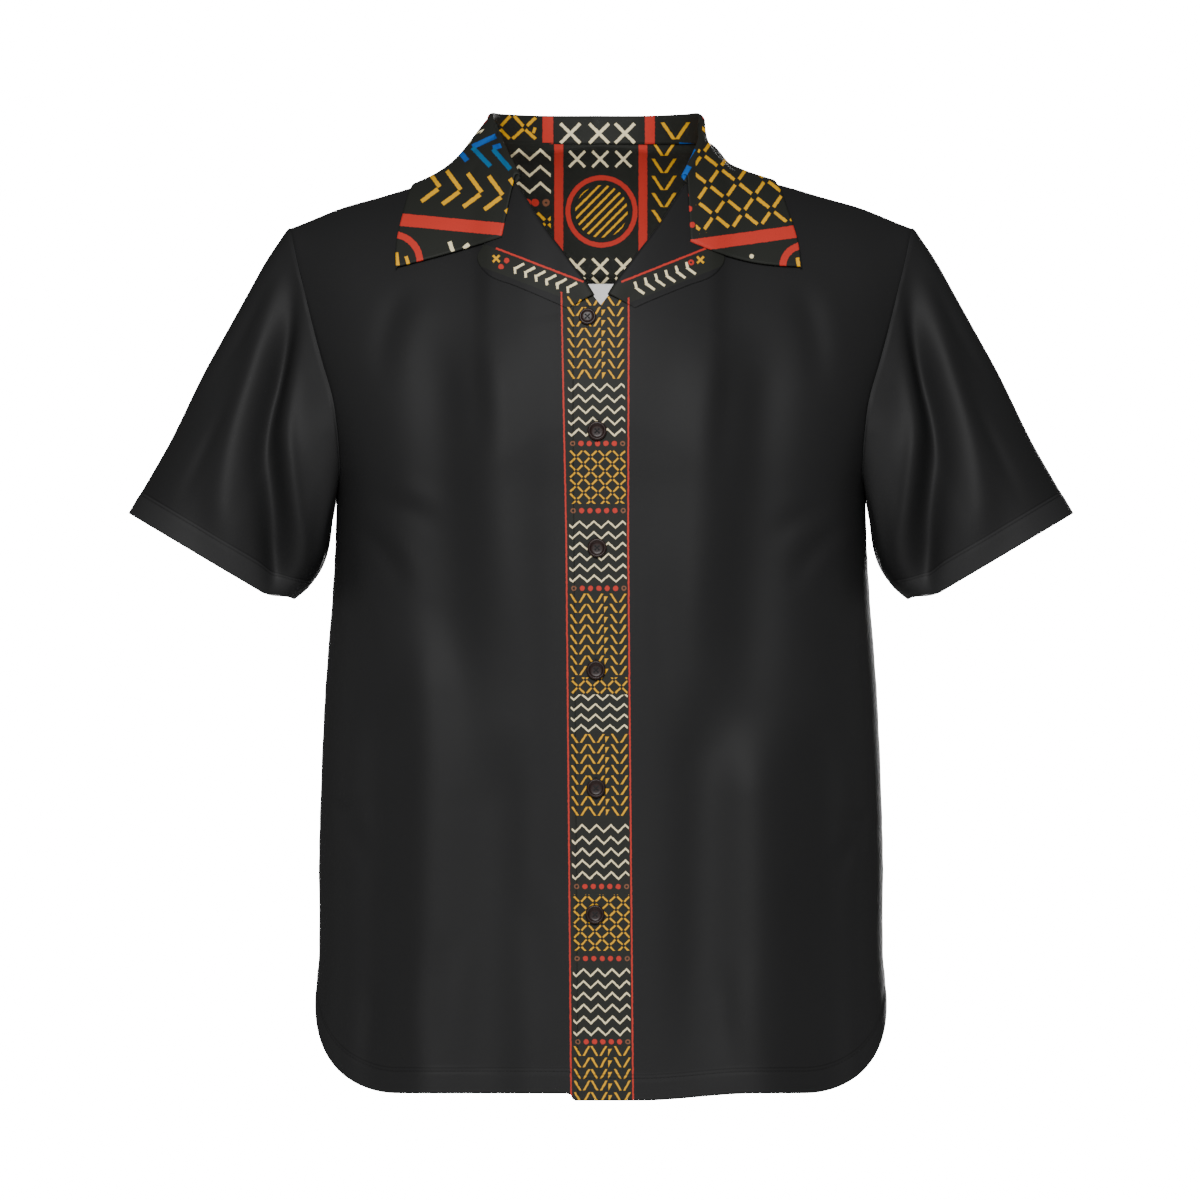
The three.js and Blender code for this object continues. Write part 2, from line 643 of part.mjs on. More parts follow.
// The sleeve's line from armhole to cuff at a station, as the four points of a Bezier curve.
function sleeveLine(entry) {
  const { point } = sleeveRoot(entry);
  const low = (1 - Math.cos(entry.turn)) / 2;
  const fall = low < 0.5
    ? mix(sleeveFall.top, sleeveFall.middle, smooth(low * 2))
    : mix(sleeveFall.middle, sleeveFall.bottom, smooth(low * 2 - 1));
  const leaves = vec(Math.cos(radians(fall)), 0, -Math.sin(radians(fall)));
  const across = vec(cuffInner.x - cuffOuter.x, 0, cuffInner.z - cuffOuter.z).normalize();
  const arrives = vec(-across.z, 0, across.x);
  const end = cuffPoint(entry.turn);
  const tuck = smooth((low - sleeveTuck.from) / (1 - sleeveTuck.from));
  const before = end.clone().addScaledVector(arrives, -sleeveArrives * (1 - sleeveTuck.arrives * tuck));
  before.x -= sleeveTuck.x * tuck;
  before.z += sleeveTuck.z * tuck;
  const after = point.clone().addScaledVector(leaves, sleeveLeaves * (1 - sleeveTuck.leaves * tuck));
  return [point, after, before, end];
}

function bezier([a, b, c, d], t) {
  const s = 1 - t;
  return a.clone().multiplyScalar(s * s * s).addScaledVector(b, 3 * s * s * t)
    .addScaledVector(c, 3 * s * t * t).addScaledVector(d, t * t * t);
}

function sleeveGrid() {
  const lines = sleeveRound.map(sleeveLine);
  const rows = steps(sleeveRings).map((t) => lines.map((line) => bezier(line, t)));
  const plain = tubeNormals(rows);
  return rows.map((row, r) => row.map((point, i) => {
    const t = r / sleeveRings;
    const degrees = (sleeveRound[i].turn * 180) / Math.PI;
    let depth = 0;
    for (const fold of sleeveFolds) {
      const fade = smooth((t - fold.from) / sleeveFoldFade) * smooth((fold.to - t) / sleeveFoldFade);
      depth += fold.depth * fade * Math.exp(-(((degrees - fold.turn) / fold.width) ** 2));
    }
    return point.addScaledVector(plain[r][i], depth);
  }));
}

// The outward normals of a tube of points whose columns close round.
function tubeNormals(rows) {
  return rows.map((row, r) => {
    const middle = row.reduce((sum, p) => sum.add(p), vec(0, 0, 0)).divideScalar(row.length);
    return row.map((point, i) => {
      const before = row[(i + row.length - 1) % row.length];
      const round = vec(0, 0, 0).subVectors(row[(i + 1) % row.length], before);
      const next = rows[Math.min(rows.length - 1, r + 1)][i];
      const last = rows[Math.max(0, r - 1)][i];
      const normal = round.cross(vec(0, 0, 0).subVectors(next, last)).normalize();
      const outwards = vec(0, 0, 0).subVectors(point, middle);
      return normal.dot(outwards) < 0 ? normal.negate() : normal;
    });
  });
}
const sleevePoints = sleeveGrid();
const sleeveNormals = tubeNormals(sleevePoints);

// The shared mitre at an armhole station, so that the two walls end face to face.
function seamMitre(panel, hand, station) {
  const i = sleeveRound.findIndex((entry) => entry.station.share === station.share
    && (entry.panel === panel || station.share === 0 || station.share === 1));
  const { normal } = sleeveRoot(sleeveRound[i]);
  const shared = mitre(normal, sleeveNormals[0][i]);
  const blend = station.share === 0 ? normal : shared;
  return vec(hand * blend.x, blend.y, blend.z);
}

function sleeve(hand) {
  const outer = sleevePoints.map((row, r) => row.map((point, i) => {
    if (r > 0) return point.clone();
    const toward = vec(0, 0, 0).subVectors(sleevePoints[1][i], point).normalize();
    const out = point.clone().addScaledVector(toward, seamGap);
    out.z += sleeveSeamLift * smooth(1 - sleeveRound[i].station.share / sleeveSeamLiftTo);
    return out;
  }));
  const inner = outer.map((row, r) => row.map((point, i) => {
    const inward = r === 0
      ? mitre(sleeveRoot(sleeveRound[i]).normal, sleeveNormals[0][i]) : sleeveNormals[r][i];
    return point.clone().addScaledVector(inward, -clothThick);
  }));
  const handed = (rows) => rows.map((row) => row.map((p) => vec(hand * p.x, p.y, p.z)));
  return wall(handed(outer), handed(inner), true);
}

function innerYoke() {
  const rows = backRows().slice(rowsBelowArmhole + yokeStation);
  const inside = (depth) => rows.map(({ places }) => places.slice(yokeSideColumns, -yokeSideColumns)
    .map((p) => p.point.clone().addScaledVector(p.normal, -depth)));
  return wall(inside(clothThick + seamGap), inside(clothThick + seamGap + yokeThick));
}

function facing(hand) {
  const outer = [];
  const inner = [];
  for (const share of steps(facingRows)) {
    const section = along(facingSections, share);
    const row = steps(facingColumns).map((t) => {
      const x = mix(section.rollX, section.tipX, t);
      const z = mix(section.rollZ, section.tipZ, t);
      const here = skin('front', hand * x, z);
      const lift = mix(facingLift.roll, facingLift.tip, smooth(t)) + lapSink(hand, x);
      return { here, lift };
    });
    inner.push(row.map(({ here, lift }) => here.point.clone().addScaledVector(here.normal, lift)));
    outer.push(row.map(({ here, lift }) => (
      here.point.clone().addScaledVector(here.normal, lift + facingThick))));
  }
  return wall(outer, inner);
}

// The neckline that the collar is sewn to, from the nape at 0 to its front end at 1, on the wearer's left.
function neckline(share) {
  if (share <= neckBackShare) {
    const turn = (Math.PI / 2) * (1 - share / neckBackShare);
    const x = neckPointX * Math.cos(turn);
    return skin('back', x, heightAtDepth('back', x, Math.max(seamGap, napeDepth * Math.sin(turn))));
  }
  const t = (share - neckBackShare) / (1 - neckBackShare);
  const x = mix(neckPointX, collarStations[collarStations.length - 1].rollX, t);
  const above = rollLine.slice(5);
  const row = along(above, (x - above[0].x) / (neckPointX - above[0].x));
  return skin('front', x, Math.min(row.z, heightAtDepth('front', x, seamGap)));
}

// One section of the collar, from its neck seam over the roll to its outer edge.
function collarSection(share, hand) {
  const row = along(collarStations, share);
  const lean = along(collarLean, share);
  const { point, normal } = neckline(row.neck);
  const front = smooth((share - collarFrontFrom) / (1 - collarFrontFrom));
  const onFacing = facingLift.roll + facingThick + seamGap;
  const seat = point.clone().addScaledVector(normal, mix(collarSeatGap, onFacing, front));
  const roll = keptOutside(vec(row.rollX + hand * lean.roll, row.rollY, row.rollZ), collarRollLift);
  const edgeLift = mix(collarEdgeLift.back, collarEdgeLift.front, front) + collarThick;
  const edge = laidAt(vec(row.edgeX + hand * lean.edge, row.edgeY, row.edgeZ), edgeLift);
  const up = vec(0, 0, 0).subVectors(roll, seat).normalize();
  const fall = vec(0, 0, 0).subVectors(edge, roll);
  const out = fall.clone().addScaledVector(up, -fall.dot(up)).normalize();
  const section = [];
  const rollFoot = roll.clone().addScaledVector(up, -collarRollRadius);
  const standTop = rollFoot.clone().addScaledVector(out, -collarRollRadius);
  for (const t of steps(collarStandSteps)) section.push(seat.clone().lerp(standTop, t));
  for (const t of steps(collarRollSteps).slice(1)) {
    const turn = Math.PI * (1 - t);
    section.push(rollFoot.clone()
      .addScaledVector(out, collarRollRadius * Math.cos(turn))
      .addScaledVector(up, collarRollRadius * Math.sin(turn)));
  }
  const from = section[section.length - 1].clone();
  for (const t of steps(collarFallSteps).slice(1)) {
    const place = from.clone().lerp(edge, t);
    const notch = t < collarNotch.at ? t / collarNotch.at : (1 - t) / (1 - collarNotch.at);
    const rounded = mix(Math.sin(Math.PI * t), notch, row.bend);
    place.x += collarNotch.x * row.bend * rounded - row.hollow * Math.sin(Math.PI * t);
    place.z += collarNotch.z * row.bend * rounded;
    const lift = mix(mix(edgeLift, collarUnderLift + collarThick, Math.sin(Math.PI * t)), edgeLift, t * t);
    section.push(t < 1 ? laidOrOutside(place, lift, row.bend) : keptOutside(place, lift));
  }
  return section;
}

// Near the front end the fall lies on the shirt; further back it only stays clear of it.
function laidOrOutside(place, lift, bend) {
  return keptOutside(place, lift).lerp(laidAt(place, lift), smooth(bend));
}

function collar() {
  const [leftHalf, rightHalf] = [1, -1].map((hand) => (
    steps(collarHalfSteps).map((share) => collarSection(share, hand))));
  const mirrored = rightHalf.slice(1).reverse().map((section) => section.map((p) => vec(-p.x, p.y, p.z)));
  const outer = [...mirrored, ...leftHalf];
  const normals = gridNormals(outer);
  const inner = outer.map((row, r) => row.map((p, c) => (
    p.clone().addScaledVector(normals[r][c], collarThick))));
  return wall(outer, inner);
}

function button(row) {
  const outline = [
    [0, buttonDish], [row.radius - buttonRim - buttonRound, buttonDish],
    [row.radius - buttonRim, buttonThick], [row.radius - buttonRound, buttonThick],
    [row.radius, buttonThick - buttonRound], [row.radius - buttonRound / 2, buttonRound / 4],
    [row.radius - 2 * buttonRound, 0], [0, 0],
  ].map(([r, h]) => new THREE.Vector2(r, h));
  const turned = new THREE.LatheGeometry(outline.reverse(), buttonSides);
  const mesh = new THREE.Mesh(turned, horn);
  const { point, normal } = skin('front', row.x, row.z, buttonLift);
  mesh.position.copy(point);
  mesh.quaternion.setFromUnitVectors(vec(0, 1, 0), normal);
  return mesh;
}

const shirt = new THREE.Group();
function add(name, mesh) {
  mesh.name = name;
  shirt.add(mesh);
}
add('front_left', new THREE.Mesh(frontPanel(1), cloth));
add('front_right', new THREE.Mesh(frontPanel(-1), cloth));
add('back', new THREE.Mesh(backPanel(), cloth));
add('sleeve_left', new THREE.Mesh(sleeve(1), cloth));
add('sleeve_right', new THREE.Mesh(sleeve(-1), cloth));
add('yoke_inner', new THREE.Mesh(innerYoke(), print));
add('facing_left', new THREE.Mesh(facing(1), cloth));
add('facing_right', new THREE.Mesh(facing(-1), cloth));
add('collar', new THREE.Mesh(collar(), print));
buttonRows.forEach((row, i) => add(`button_${i + 1}`, button(row)));

export default shirt;
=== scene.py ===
# A short-sleeved camp-collar shirt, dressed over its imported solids.
# Sizes are millimetres until they become vertices. The front faces -Y, and +X is the wearer's left.

import math

import bmesh
import bpy
import numpy as np
from mathutils import Matrix, Vector


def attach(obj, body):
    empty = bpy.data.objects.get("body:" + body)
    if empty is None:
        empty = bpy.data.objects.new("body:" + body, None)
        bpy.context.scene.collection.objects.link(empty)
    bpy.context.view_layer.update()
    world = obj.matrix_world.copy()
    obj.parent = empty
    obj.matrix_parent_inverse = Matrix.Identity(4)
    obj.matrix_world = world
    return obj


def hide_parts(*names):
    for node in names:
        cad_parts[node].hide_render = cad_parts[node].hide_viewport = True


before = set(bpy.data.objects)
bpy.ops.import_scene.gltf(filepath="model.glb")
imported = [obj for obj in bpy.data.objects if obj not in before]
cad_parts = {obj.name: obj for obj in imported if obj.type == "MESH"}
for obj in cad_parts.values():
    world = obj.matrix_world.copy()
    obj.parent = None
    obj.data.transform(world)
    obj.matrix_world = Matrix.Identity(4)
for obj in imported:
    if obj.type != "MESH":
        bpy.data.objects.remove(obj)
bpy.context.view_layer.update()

MM = 0.001

# Cloth and seams. The allowance is how far cloth runs on under its neighbour, and how deep.
cloth_thick = 1.2
front_wall = 1.4
seam_gap = 0.3
seam_groove = 0.5
seam_groove_half = 1.9
seam_allowance = {"on": 2.4, "in": 1.7, "at_neck": 1.0}
nearly_one = 1 - 1e-12
far_away = 500.0

# Along a seam the cloth puckers: how high, how long each ripple is, and how far from the seam
pucker = {"height": 0.22, "ripple": 5.1, "sway": 17, "reach": 9, "starts": 2}

# Shoulders and neck
neck_half = 80
neck_point = 82
shoulder_x = 243
shoulder_slope = 0.345
shoulder_round = 25
neck_rise = 42
neck_rise_spread = 75
shoulder_dip = {"depth": 7.0, "at": 104, "spread": 32, "from": 84, "full": 100}
shoulder_swell = {"height": 2.4, "at": 203, "spread": 26}
nape_depth = 75
neck_back_share = 0.7


def table(columns, *rows):
    """Rows of numbers as one array for each named column."""
    return dict(zip(columns.split(), np.array(rows, float).T))


# Torso sections: how square they are, and how far below the shoulders they reach full depth
section_power = 2.6
power_spread = 170
profiles = {
    "front": {"side": -1, "drop": 250, "power": 1.7, "power_middle": 1.7},
    "back": {"side": 1, "drop": 190, "power": 1.7, "power_middle": 2.35},
}
torso_sections = table(
    "z half_width front back",
    (40, 268, 128, 116),
    (-57, 256, 128, 116),
    (-129, 240, 128, 116),
    (-189, 225, 129, 116),
    (-235, 213, 130, 116),
    (-262, 207.5, 130, 116),
    (-300, 207.6, 131, 115),
    (-347, 210.2, 132, 114),
    (-425, 216, 133, 113),
    (-542, 220.4, 134, 115),
    (-620, 220.4, 135, 118),
    (-667, 223.5, 136, 120),
    (-750, 228, 138, 123),
)

# Shirt-tail hem: level in the middle, rising to the side seams
hem_front = -731.5
hem_back = -731
hem_top_front_drop = 5.5
hem_drop_end = 120
hem_drop_fade = 90
hem_side_rise = 77
hem_rise_start = math.pi / 4
hem_rise_power = 1.8
hem_turned = 19.5
hem_band = 0.45
hem_edge_soft = 0.8
hem_stitch = {"in": 2, "depth": 0.4, "half": 1.1}

# Front edges. Each front runs past the middle by the lap.
lap_at_hem = 18
lap_at_top = 22
lap_gap = 0.8
lap_sink_from = 62
lap_sink_to = 32

# The armhole seam, from the underarm to the shoulder. Turn is the angle round the section, in degrees.
armhole_rows = table(
    "z turn",
    (-262, 90),
    (-259, 82.5),
    (-251, 77.5),
    (-236, 74),
    (-212, 70.6),
    (-189, 68.9),
    (-160, 69.9),
    (-129, 70.6),
    (-95, 71),
    (-57, 71.7),
)
armhole_steps = 16
row_crowding = 0.55

# The front's top corner beside the first button, and the roll line from there to the neck point
front_edge_at_underarm = -205
front_corner = (-lap_at_top, -118.8)
corner_station = 5
roll_line = table(
    "x z",
    (-2, -117.4),
    (13.3, -98.3),
    (27.5, -80),
    (40, -63.5),
    (51.5, -46.5),
    (61, -31.5),
    (70, -17),
    (77, -2),
    (neck_point, 8),
)
roll_inset = 1.6

# Drape folds that the solids have too. Depth is outwards, so a trough is below zero.
front_folds = table(
    "x_top x_foot z_top z_foot width depth",
    (-92, -68, -120, -430, 24, 5),
    (-128, -112, -120, -500, 24, -6),
    (92, 66, -120, -440, 24, 5),
    (128, 110, -120, -500, 24, -6),
    (-172, -180, -400, -900, 19, -9),
    (-135, -146, -350, -900, 24, 7),
    (-80, -86, -440, -900, 24, -5),
    (84, 74, -400, -760, 24, -6),
    (122, 130, -430, -900, 26, 7),
    (172, 184, -420, -900, 19, -9),
)
back_folds = table(
    "x_top x_foot z_top z_foot width depth",
    (-156, -168, -250, -900, 24, -9),
    (-112, -118, -220, -900, 28, 6),
    (-60, -70, -380, -900, 26, -6),
    (12, 6, -420, -900, 30, 5),
    (66, 78, -330, -900, 26, -6),
    (112, 124, -230, -900, 28, 6),
    (156, 170, -260, -900, 23, -9),
)
folds = {"front": front_folds, "back": back_folds}
fold_fade = 70
fold_side_fade = 0.93

# Finer creases, each a soft trough with a low ridge beside it, from its head to its foot. The ridge's
# offset and width are shares of the trough's, and the tapers are shares of the crease's length.
crease_ridge = {"height": 0.45, "off": 1.9, "width": 1.1}
crease_taper = {"head": 0.35, "foot": 0.5}
front_creases = table(
    "x_head z_head x_foot z_foot bow width depth",
    (-198, -285, -150, -352, 9, 7, -2.6),
    (-200, -300, -168, -420, -8, 8, -2.2),
    (-186, -268, -120, -296, 6, 8, -1.9),
    (196, -284, 146, -346, -8, 7, -2.4),
    (199, -304, 172, -440, 7, 8, -2.3),
    (184, -270, 126, -306, -5, 8, -1.7),
    (-210, -500, -186, -560, 4, 7, -2.6),
    (-212, -512, -180, -500, -3, 6, -1.8),
    (211, -508, 184, -572, -4, 7, -2.7),
    (212, -520, 182, -512, 3, 6, -1.6),
    (-176, -640, -190, -720, 5, 9, -2.2),
    (-120, -600, -128, -725, -7, 10, -1.5),
    (150, -560, 158, -700, 6, 9, -1.8),
    (96, -620, 104, -728, -5, 10, -1.4),
    (-60, -560, -52, -700, 6, 12, -1.2),
    (52, -300, 60, -470, -6, 12, -1.2),
    (-104, -135, -96, -260, 5, 9, -1.6),
    (106, -140, 94, -290, -6, 9, -1.5),
    (-150, -95, -172, -190, -7, 10, -1.8),
    (152, -92, 170, -200, 6, 10, -1.9),
)
back_creases = table(
    "x_head z_head x_foot z_foot bow width depth",
    (-196, -280, -138, -340, 8, 7, -2.6),
    (-199, -302, -160, -430, -9, 8, -2.3),
    (-188, -262, -90, -288, 7, 9, -1.9),
    (194, -276, 132, -330, -8, 7, -2.5),
    (198, -300, 164, -450, 8, 8, -2.2),
    (186, -264, 84, -296, -6, 9, -1.8),
    (-210, -498, -178, -566, 5, 7, -2.6),
    (211, -516, 176, -590, -5, 7, -2.4),
    (-90, -250, -84, -420, 7, 11, -1.7),
    (40, -240, 46, -400, -8, 12, -1.5),
    (92, -380, 96, -560, 6, 10, -1.8),
    (-36, -520, -30, -700, -6, 11, -1.5),
    (-140, -580, -150, -720, 6, 9, -2.0),
    (140, -600, 152, -724, -7, 9, -2.1),
    (30, -600, 36, -722, 5, 12, -1.3),
    (-150, -90, -120, -190, 7, 10, -1.6),
    (148, -88, 122, -200, -6, 10, -1.7),
)
creases = {"front": front_creases, "back": back_creases}

# Sleeves: the cuff is an oval, seen edge-on from the front. Fall is the angle below level at which the
# cloth leaves the armhole, in degrees. Tuck draws the underside in close to the body.
cuff_outer = (369, -279.5)
cuff_inner = (240, -356)
cuff_half_depth = 53
cuff_bottom_lift = 9.5
cuff_lift_from = 0.8
cuff_power = 2.2
sleeve_fall = {"top": 61, "middle": 50, "bottom": 84}
sleeve_leaves = 62
sleeve_arrives = 84
sleeve_tuck = {"from": 0.55, "arrives": 0.75, "leaves": 0.35, "x": 21, "z": 4.4}
sleeve_seam_lift = 0.5
sleeve_seam_lift_to = 0.2
sleeve_fold_fade = 0.3
tucked_under = {"back": 3.2, "in": 1.5}
sleeve_folds = table(
    "turn_head turn_foot width depth start end",
    (34, 138, 13, -15, 0.0, 1.08),
    (8, 98, 14, 6, 0.06, 1.1),
    (64, 158, 14, 5, 0.1, 0.85),
    (232, 238, 15, -6, 0.15, 1.1),
    (297, 303, 16, -5, 0.1, 0.95),
)
sleeve_creases = table(
    "turn_head turn_foot width depth start end",
    (0, 0, 20, 4.0, -0.1, 0.8),
    (360, 360, 20, 4.0, -0.1, 0.8),
    (12, 24, 6, -1.4, 0.0, 0.62),
    (72, 166, 6, -0.9, 0.1, 0.65),
    (24, 60, 6, -1.7, 0.4, 0.95),
    (112, 140, 7, 0.8, 0.2, 0.7),
    (147, 153, 7, -2.0, 0.0, 0.6),
    (165, 171, 6, -1.8, 0.1, 0.7),
    (199, 193, 6, -1.8, 0.0, 0.7),
    (218, 212, 6, -1.6, 0.3, 1.0),
    (265, 259, 7, -1.7, 0.1, 0.85),
    (281, 287, 6, 1.4, 0.3, 1.0),
    (333, 327, 7, -1.6, 0.0, 0.7),
)

# The inner yoke hangs inside the back, from this armhole station up, and stops short of its seams
yoke_station = 13
yoke_side_share = 0.06
yoke_gap = 0.35
yoke_thick = 0.9

# The turned-back facings. Roll is on the neck edge, tip on the free edge.
facing_sections = table(
    "roll_x roll_z tip_x tip_z",
    (6, -110, 26.5, -119.5),
    (13.3, -98.3, 29, -118.3),
    (22, -87, 37, -114.7),
    (31, -75, 52, -108.5),
    (41, -62.2, 68, -102),
    (50, -49, 86, -95),
    (57, -38, 96, -82.5),
    (61.5, -30.7, 92, -72),
    (66, -23.4, 79, -59),
)
facing_lift = {"roll": 2.0, "tip": -0.7}
facing_wall = 1.5
facing_thick = 1.1
facing_hidden = (7, 4, 1.5)
facing_roll_columns = 12

# The collar, from the nape to its front end: its roll line, its outer edge before it is laid on the
# shirt, how far its fall hollows towards the neck, and how far its end bends out at the notch
collar_stations = table(
    "neck roll_x roll_y roll_z edge_x edge_y edge_z hollow bend",
    (0, 0, 80, 32, 0, 97, -15, 0, 0),
    (0.25, 43, 69, 32, 57, 90, -17, 2, 0),
    (0.47, 71, 45, 33, 102, 66, -20, 8, 0),
    (0.66, 82, 17, 33, 131, 28, -22, 16, 0),
    (0.78, 81, 0, 22, 141, -6, -26, 13, 0),
    (0.86, 75.5, -15, 7, 149, -33, -44, 5, 0.08),
    (0.93, 67.5, -31, -10.5, 157, -52, -67, 0, 0.4),
    (1, 57.5, -47, -28, 160, -62, -87, 0, 1),
)
collar_lean = table("roll edge", (-6, -6), (-6, -7), (-1, -5), (0, -2))
collar_notch = {1: (-26.6, -30.2), -1: (-20.0, -26.6)}
collar_notch_at = 0.3
collar_seam_end = 64.6
collar_foot = {"behind": -4.3, "below": 0.8}
collar_tip = (-3.5, -4.4)
collar_bulge = {1: 5.5, -1: 1.0}
collar_hollow = {1: (1.0, 1.0, 7.0), -1: (0.5, 2.0, 0.0)}
collar_stands_off = {1: 0.0, -1: 0.8}
stand_foot_height = 9.7
yoke_top_height = 10.8
yoke_foot_drop = 2.7
yoke_foot_rows = 6
collar_roll_radius = 2.9
collar_roll_lift = 8.3
collar_front_from = 0.55
collar_edge_lift = {"back": 0.7, "front": 1.9}
collar_under_lift = 1.6
collar_seat_gap = 1.1
collar_wall = 1.8
collar_thick = 1.5
collar_stand_columns = 12
collar_fall_starts = 16

# Buttons, from the top one down
button_rows = table(
    "x z radius",
    (-10.5, -126.5, 6.7),
    (-3.1, -215.3, 7.5),
    (-3.1, -306.5, 7.5),
    (-3.9, -401.7, 7.5),
    (-3.9, -493.7, 7.5),
    (-4.7, -592, 7.5),
)
button_lift = 0.5


def mix(a, b, t):
    return a + (b - a) * t


def smooth(t):
    t = np.clip(t, 0, 1)
    return t * t * (3 - 2 * t)


def hermite(a, b, slope_a, slope_b, t):
    """A smooth curve from a to b with the slopes given at both, for t from 0 to 1."""
    t2, t3 = t * t, t * t * t
    return (2 * t3 - 3 * t2 + 1) * a + (t3 - 2 * t2 + t) * slope_a \
        + (3 * t2 - 2 * t3) * b + (t3 - t2) * slope_b


def along(rows, share):
    """The columns of a table at a share of the way down its rows, as a smooth curve."""
    share = np.asarray(share, float)
    count = len(next(iter(rows.values())))
    place = np.clip(share, 0, 1) * (count - 1)
    i = np.minimum(count - 2, np.floor(place).astype(int))
    out = {}
    for name, column in rows.items():
        full = np.concatenate([[2 * column[0] - column[1]], column, [2 * column[-1] - column[-2]]])
        a, b, c, d = (full[i + k] for k in range(4))
        out[name] = hermite(b, c, (c - a) / 2, (d - b) / 2, place - i)
    return out


def section(name, z):
    """A column of the torso sections as a function of height."""
    heights, column = torso_sections["z"], torso_sections[name]
    before = np.maximum(np.arange(len(heights)) - 1, 0)
    after = np.minimum(np.arange(len(heights)) + 1, len(heights) - 1)
    slope = (column[after] - column[before]) / (heights[after] - heights[before])
    i = np.searchsorted(-heights[1:-1], -np.asarray(z, float), side="left")
    span = heights[i + 1] - heights[i]
    t = np.clip((z - heights[i]) / span, 0, 1)
    return hermite(column[i], column[i + 1], span * slope[i], span * slope[i + 1], t)


def half_width(z):
    return section("half_width", z)


def shoulder_sag(x):
    """How far the shoulder line dips beside the collar."""
    dip = shoulder_dip
    bell = np.exp(-(((np.abs(x) - dip["at"]) / dip["spread"]) ** 2))
    swell = np.exp(-(((np.abs(x) - shoulder_swell["at"]) / shoulder_swell["spread"]) ** 2))
    beside = smooth((np.abs(x) - dip["from"]) / (dip["full"] - dip["from"]))
    return dip["depth"] * bell * beside - shoulder_swell["height"] * swell


def shoulder_height(x):
    """The height of the shoulder line, which the cloth would follow on up inside the neck."""
    past = np.abs(x) - neck_half
    slope = -shoulder_slope * (np.hypot(past, shoulder_round) + past) / 2
    return slope + neck_rise * np.exp(-((x / neck_rise_spread) ** 2)) - shoulder_sag(x)


def power_at(panel, x):
    """How square the cloth is over the shoulders, from the middle of the panel outwards."""
    profile = profiles[panel]
    return mix(profile["power_middle"], profile["power"], smooth(np.abs(x) / power_spread))


def crease_depth(panel, x, z):
    """How far the finer creases stand out of the cloth. Each tapers to nothing at both ends."""
    rows = creases[panel]
    depth = 0
    for xh, zh, xf, zf, bow, width, deep in zip(*rows.values()):
        length = math.hypot(xf - xh, zf - zh)
        ux, uz = (xf - xh) / length, (zf - zh) / length
        t = ((x - xh) * ux + (z - zh) * uz) / length
        off = ((x - xh) * -uz + (z - zh) * ux) - bow * 4 * t * (1 - t)
        taper = smooth(t / crease_taper["head"]) * smooth((1 - t) / crease_taper["foot"])
        off_ridge = (off - crease_ridge["off"] * width) / (crease_ridge["width"] * width)
        ridge = crease_ridge["height"] * np.exp(-(off_ridge**2))
        depth = depth + deep * taper * (np.exp(-((off / width) ** 2)) - ridge)
    return depth


def fold_depth(panel, x, z):
    """How far folds and creases stand out of the plain torso."""
    rows = folds[panel]
    depth = crease_depth(panel, x, z)
    for x_top, x_foot, z_top, z_foot, width, deep in zip(*rows.values()):
        t = np.clip((z_top - z) / (z_top - z_foot), 0, 1)
        fade = smooth((z_top - z) / fold_fade) * smooth((z - z_foot) / (2 * fold_fade))
        depth = depth + deep * fade * np.exp(-(((x - mix(x_top, x_foot, t)) / width) ** 2))
    across = np.abs(x) / half_width(z)
    return depth * smooth((1 - across) / (1 - fold_side_fade))


def slope_of(f, at, step=0.05):
    return (f(at + step) - f(at - step)) / (2 * step)


def skin(panel, x, z, lift=0.0):
    """The torso cloth at places on the front or back: points and outward normals."""
    x, z = np.broadcast_arrays(np.asarray(x, float), np.asarray(z, float))
    side, drop = profiles[panel]["side"], profiles[panel]["drop"]
    power = power_at(panel, x)
    width = half_width(z)
    depth = section(panel, z)
    share = np.minimum(nearly_one, np.abs(x) / width)
    round_ = (1 - share**section_power) ** (1 / section_power)
    down = np.clip((shoulder_height(x) - z) / drop, 1 - nearly_one, nearly_one)
    reach = (1 - (1 - down) ** power) ** (1 / power)
    full = 1 - share**section_power
    round_slope = -(share ** (section_power - 1)) * full ** (1 / section_power - 1)
    reach_slope = (1 - down) ** (power - 1) * (1 - (1 - down) ** power) ** (1 / power - 1)
    reach_slope = np.where(shoulder_height(x) - z < drop, reach_slope, 0)
    ridge_slope = slope_of(shoulder_height, x)
    width_slope = slope_of(half_width, z)
    depth_slope = slope_of(lambda at: section(panel, at), z)
    out = depth * round_ * reach + fold_depth(panel, x, z)
    out_by_x = depth * (
        round_slope * (np.sign(x) / width) * reach + round_ * reach_slope * ridge_slope / drop
    ) + slope_of(lambda at: fold_depth(panel, at, z), x)
    out_by_z = depth_slope * round_ * reach + depth * (
        round_slope * (-share * width_slope / width) * reach - round_ * reach_slope / drop
    ) + slope_of(lambda at: fold_depth(panel, x, at), z)
    normal = unit(np.stack([-out_by_x, np.full_like(x, side), -out_by_z], -1))
    point = np.stack([x, side * out, z], -1)
    return point + normal * np.asarray(lift)[..., None], normal


def unit(v):
    return v / np.maximum(np.linalg.norm(v, axis=-1, keepdims=True), 1e-12)


def height_at_depth(panel, x, out):
    """The height at which the cloth stands a given distance out of the shoulder line's plane."""
    drop = profiles[panel]["drop"]
    power = power_at(panel, x)
    z = shoulder_height(x)
    for _ in range(4):
        share = np.minimum(1, np.abs(x) / half_width(z))
        round_ = (1 - share**section_power) ** (1 / section_power)
        reach = np.minimum(1, out / (section(panel, z) * np.maximum(round_, 1e-9)))
        z = shoulder_height(x) - drop * (1 - (1 - reach**power) ** (1 / power))
    return z


def side_edge(panel, z):
    """The x at which a section comes to within half a seam gap of the side seam."""
    near = seam_gap / 2 / section(panel, z)
    return half_width(z) * (1 - near**section_power) ** (1 / section_power)


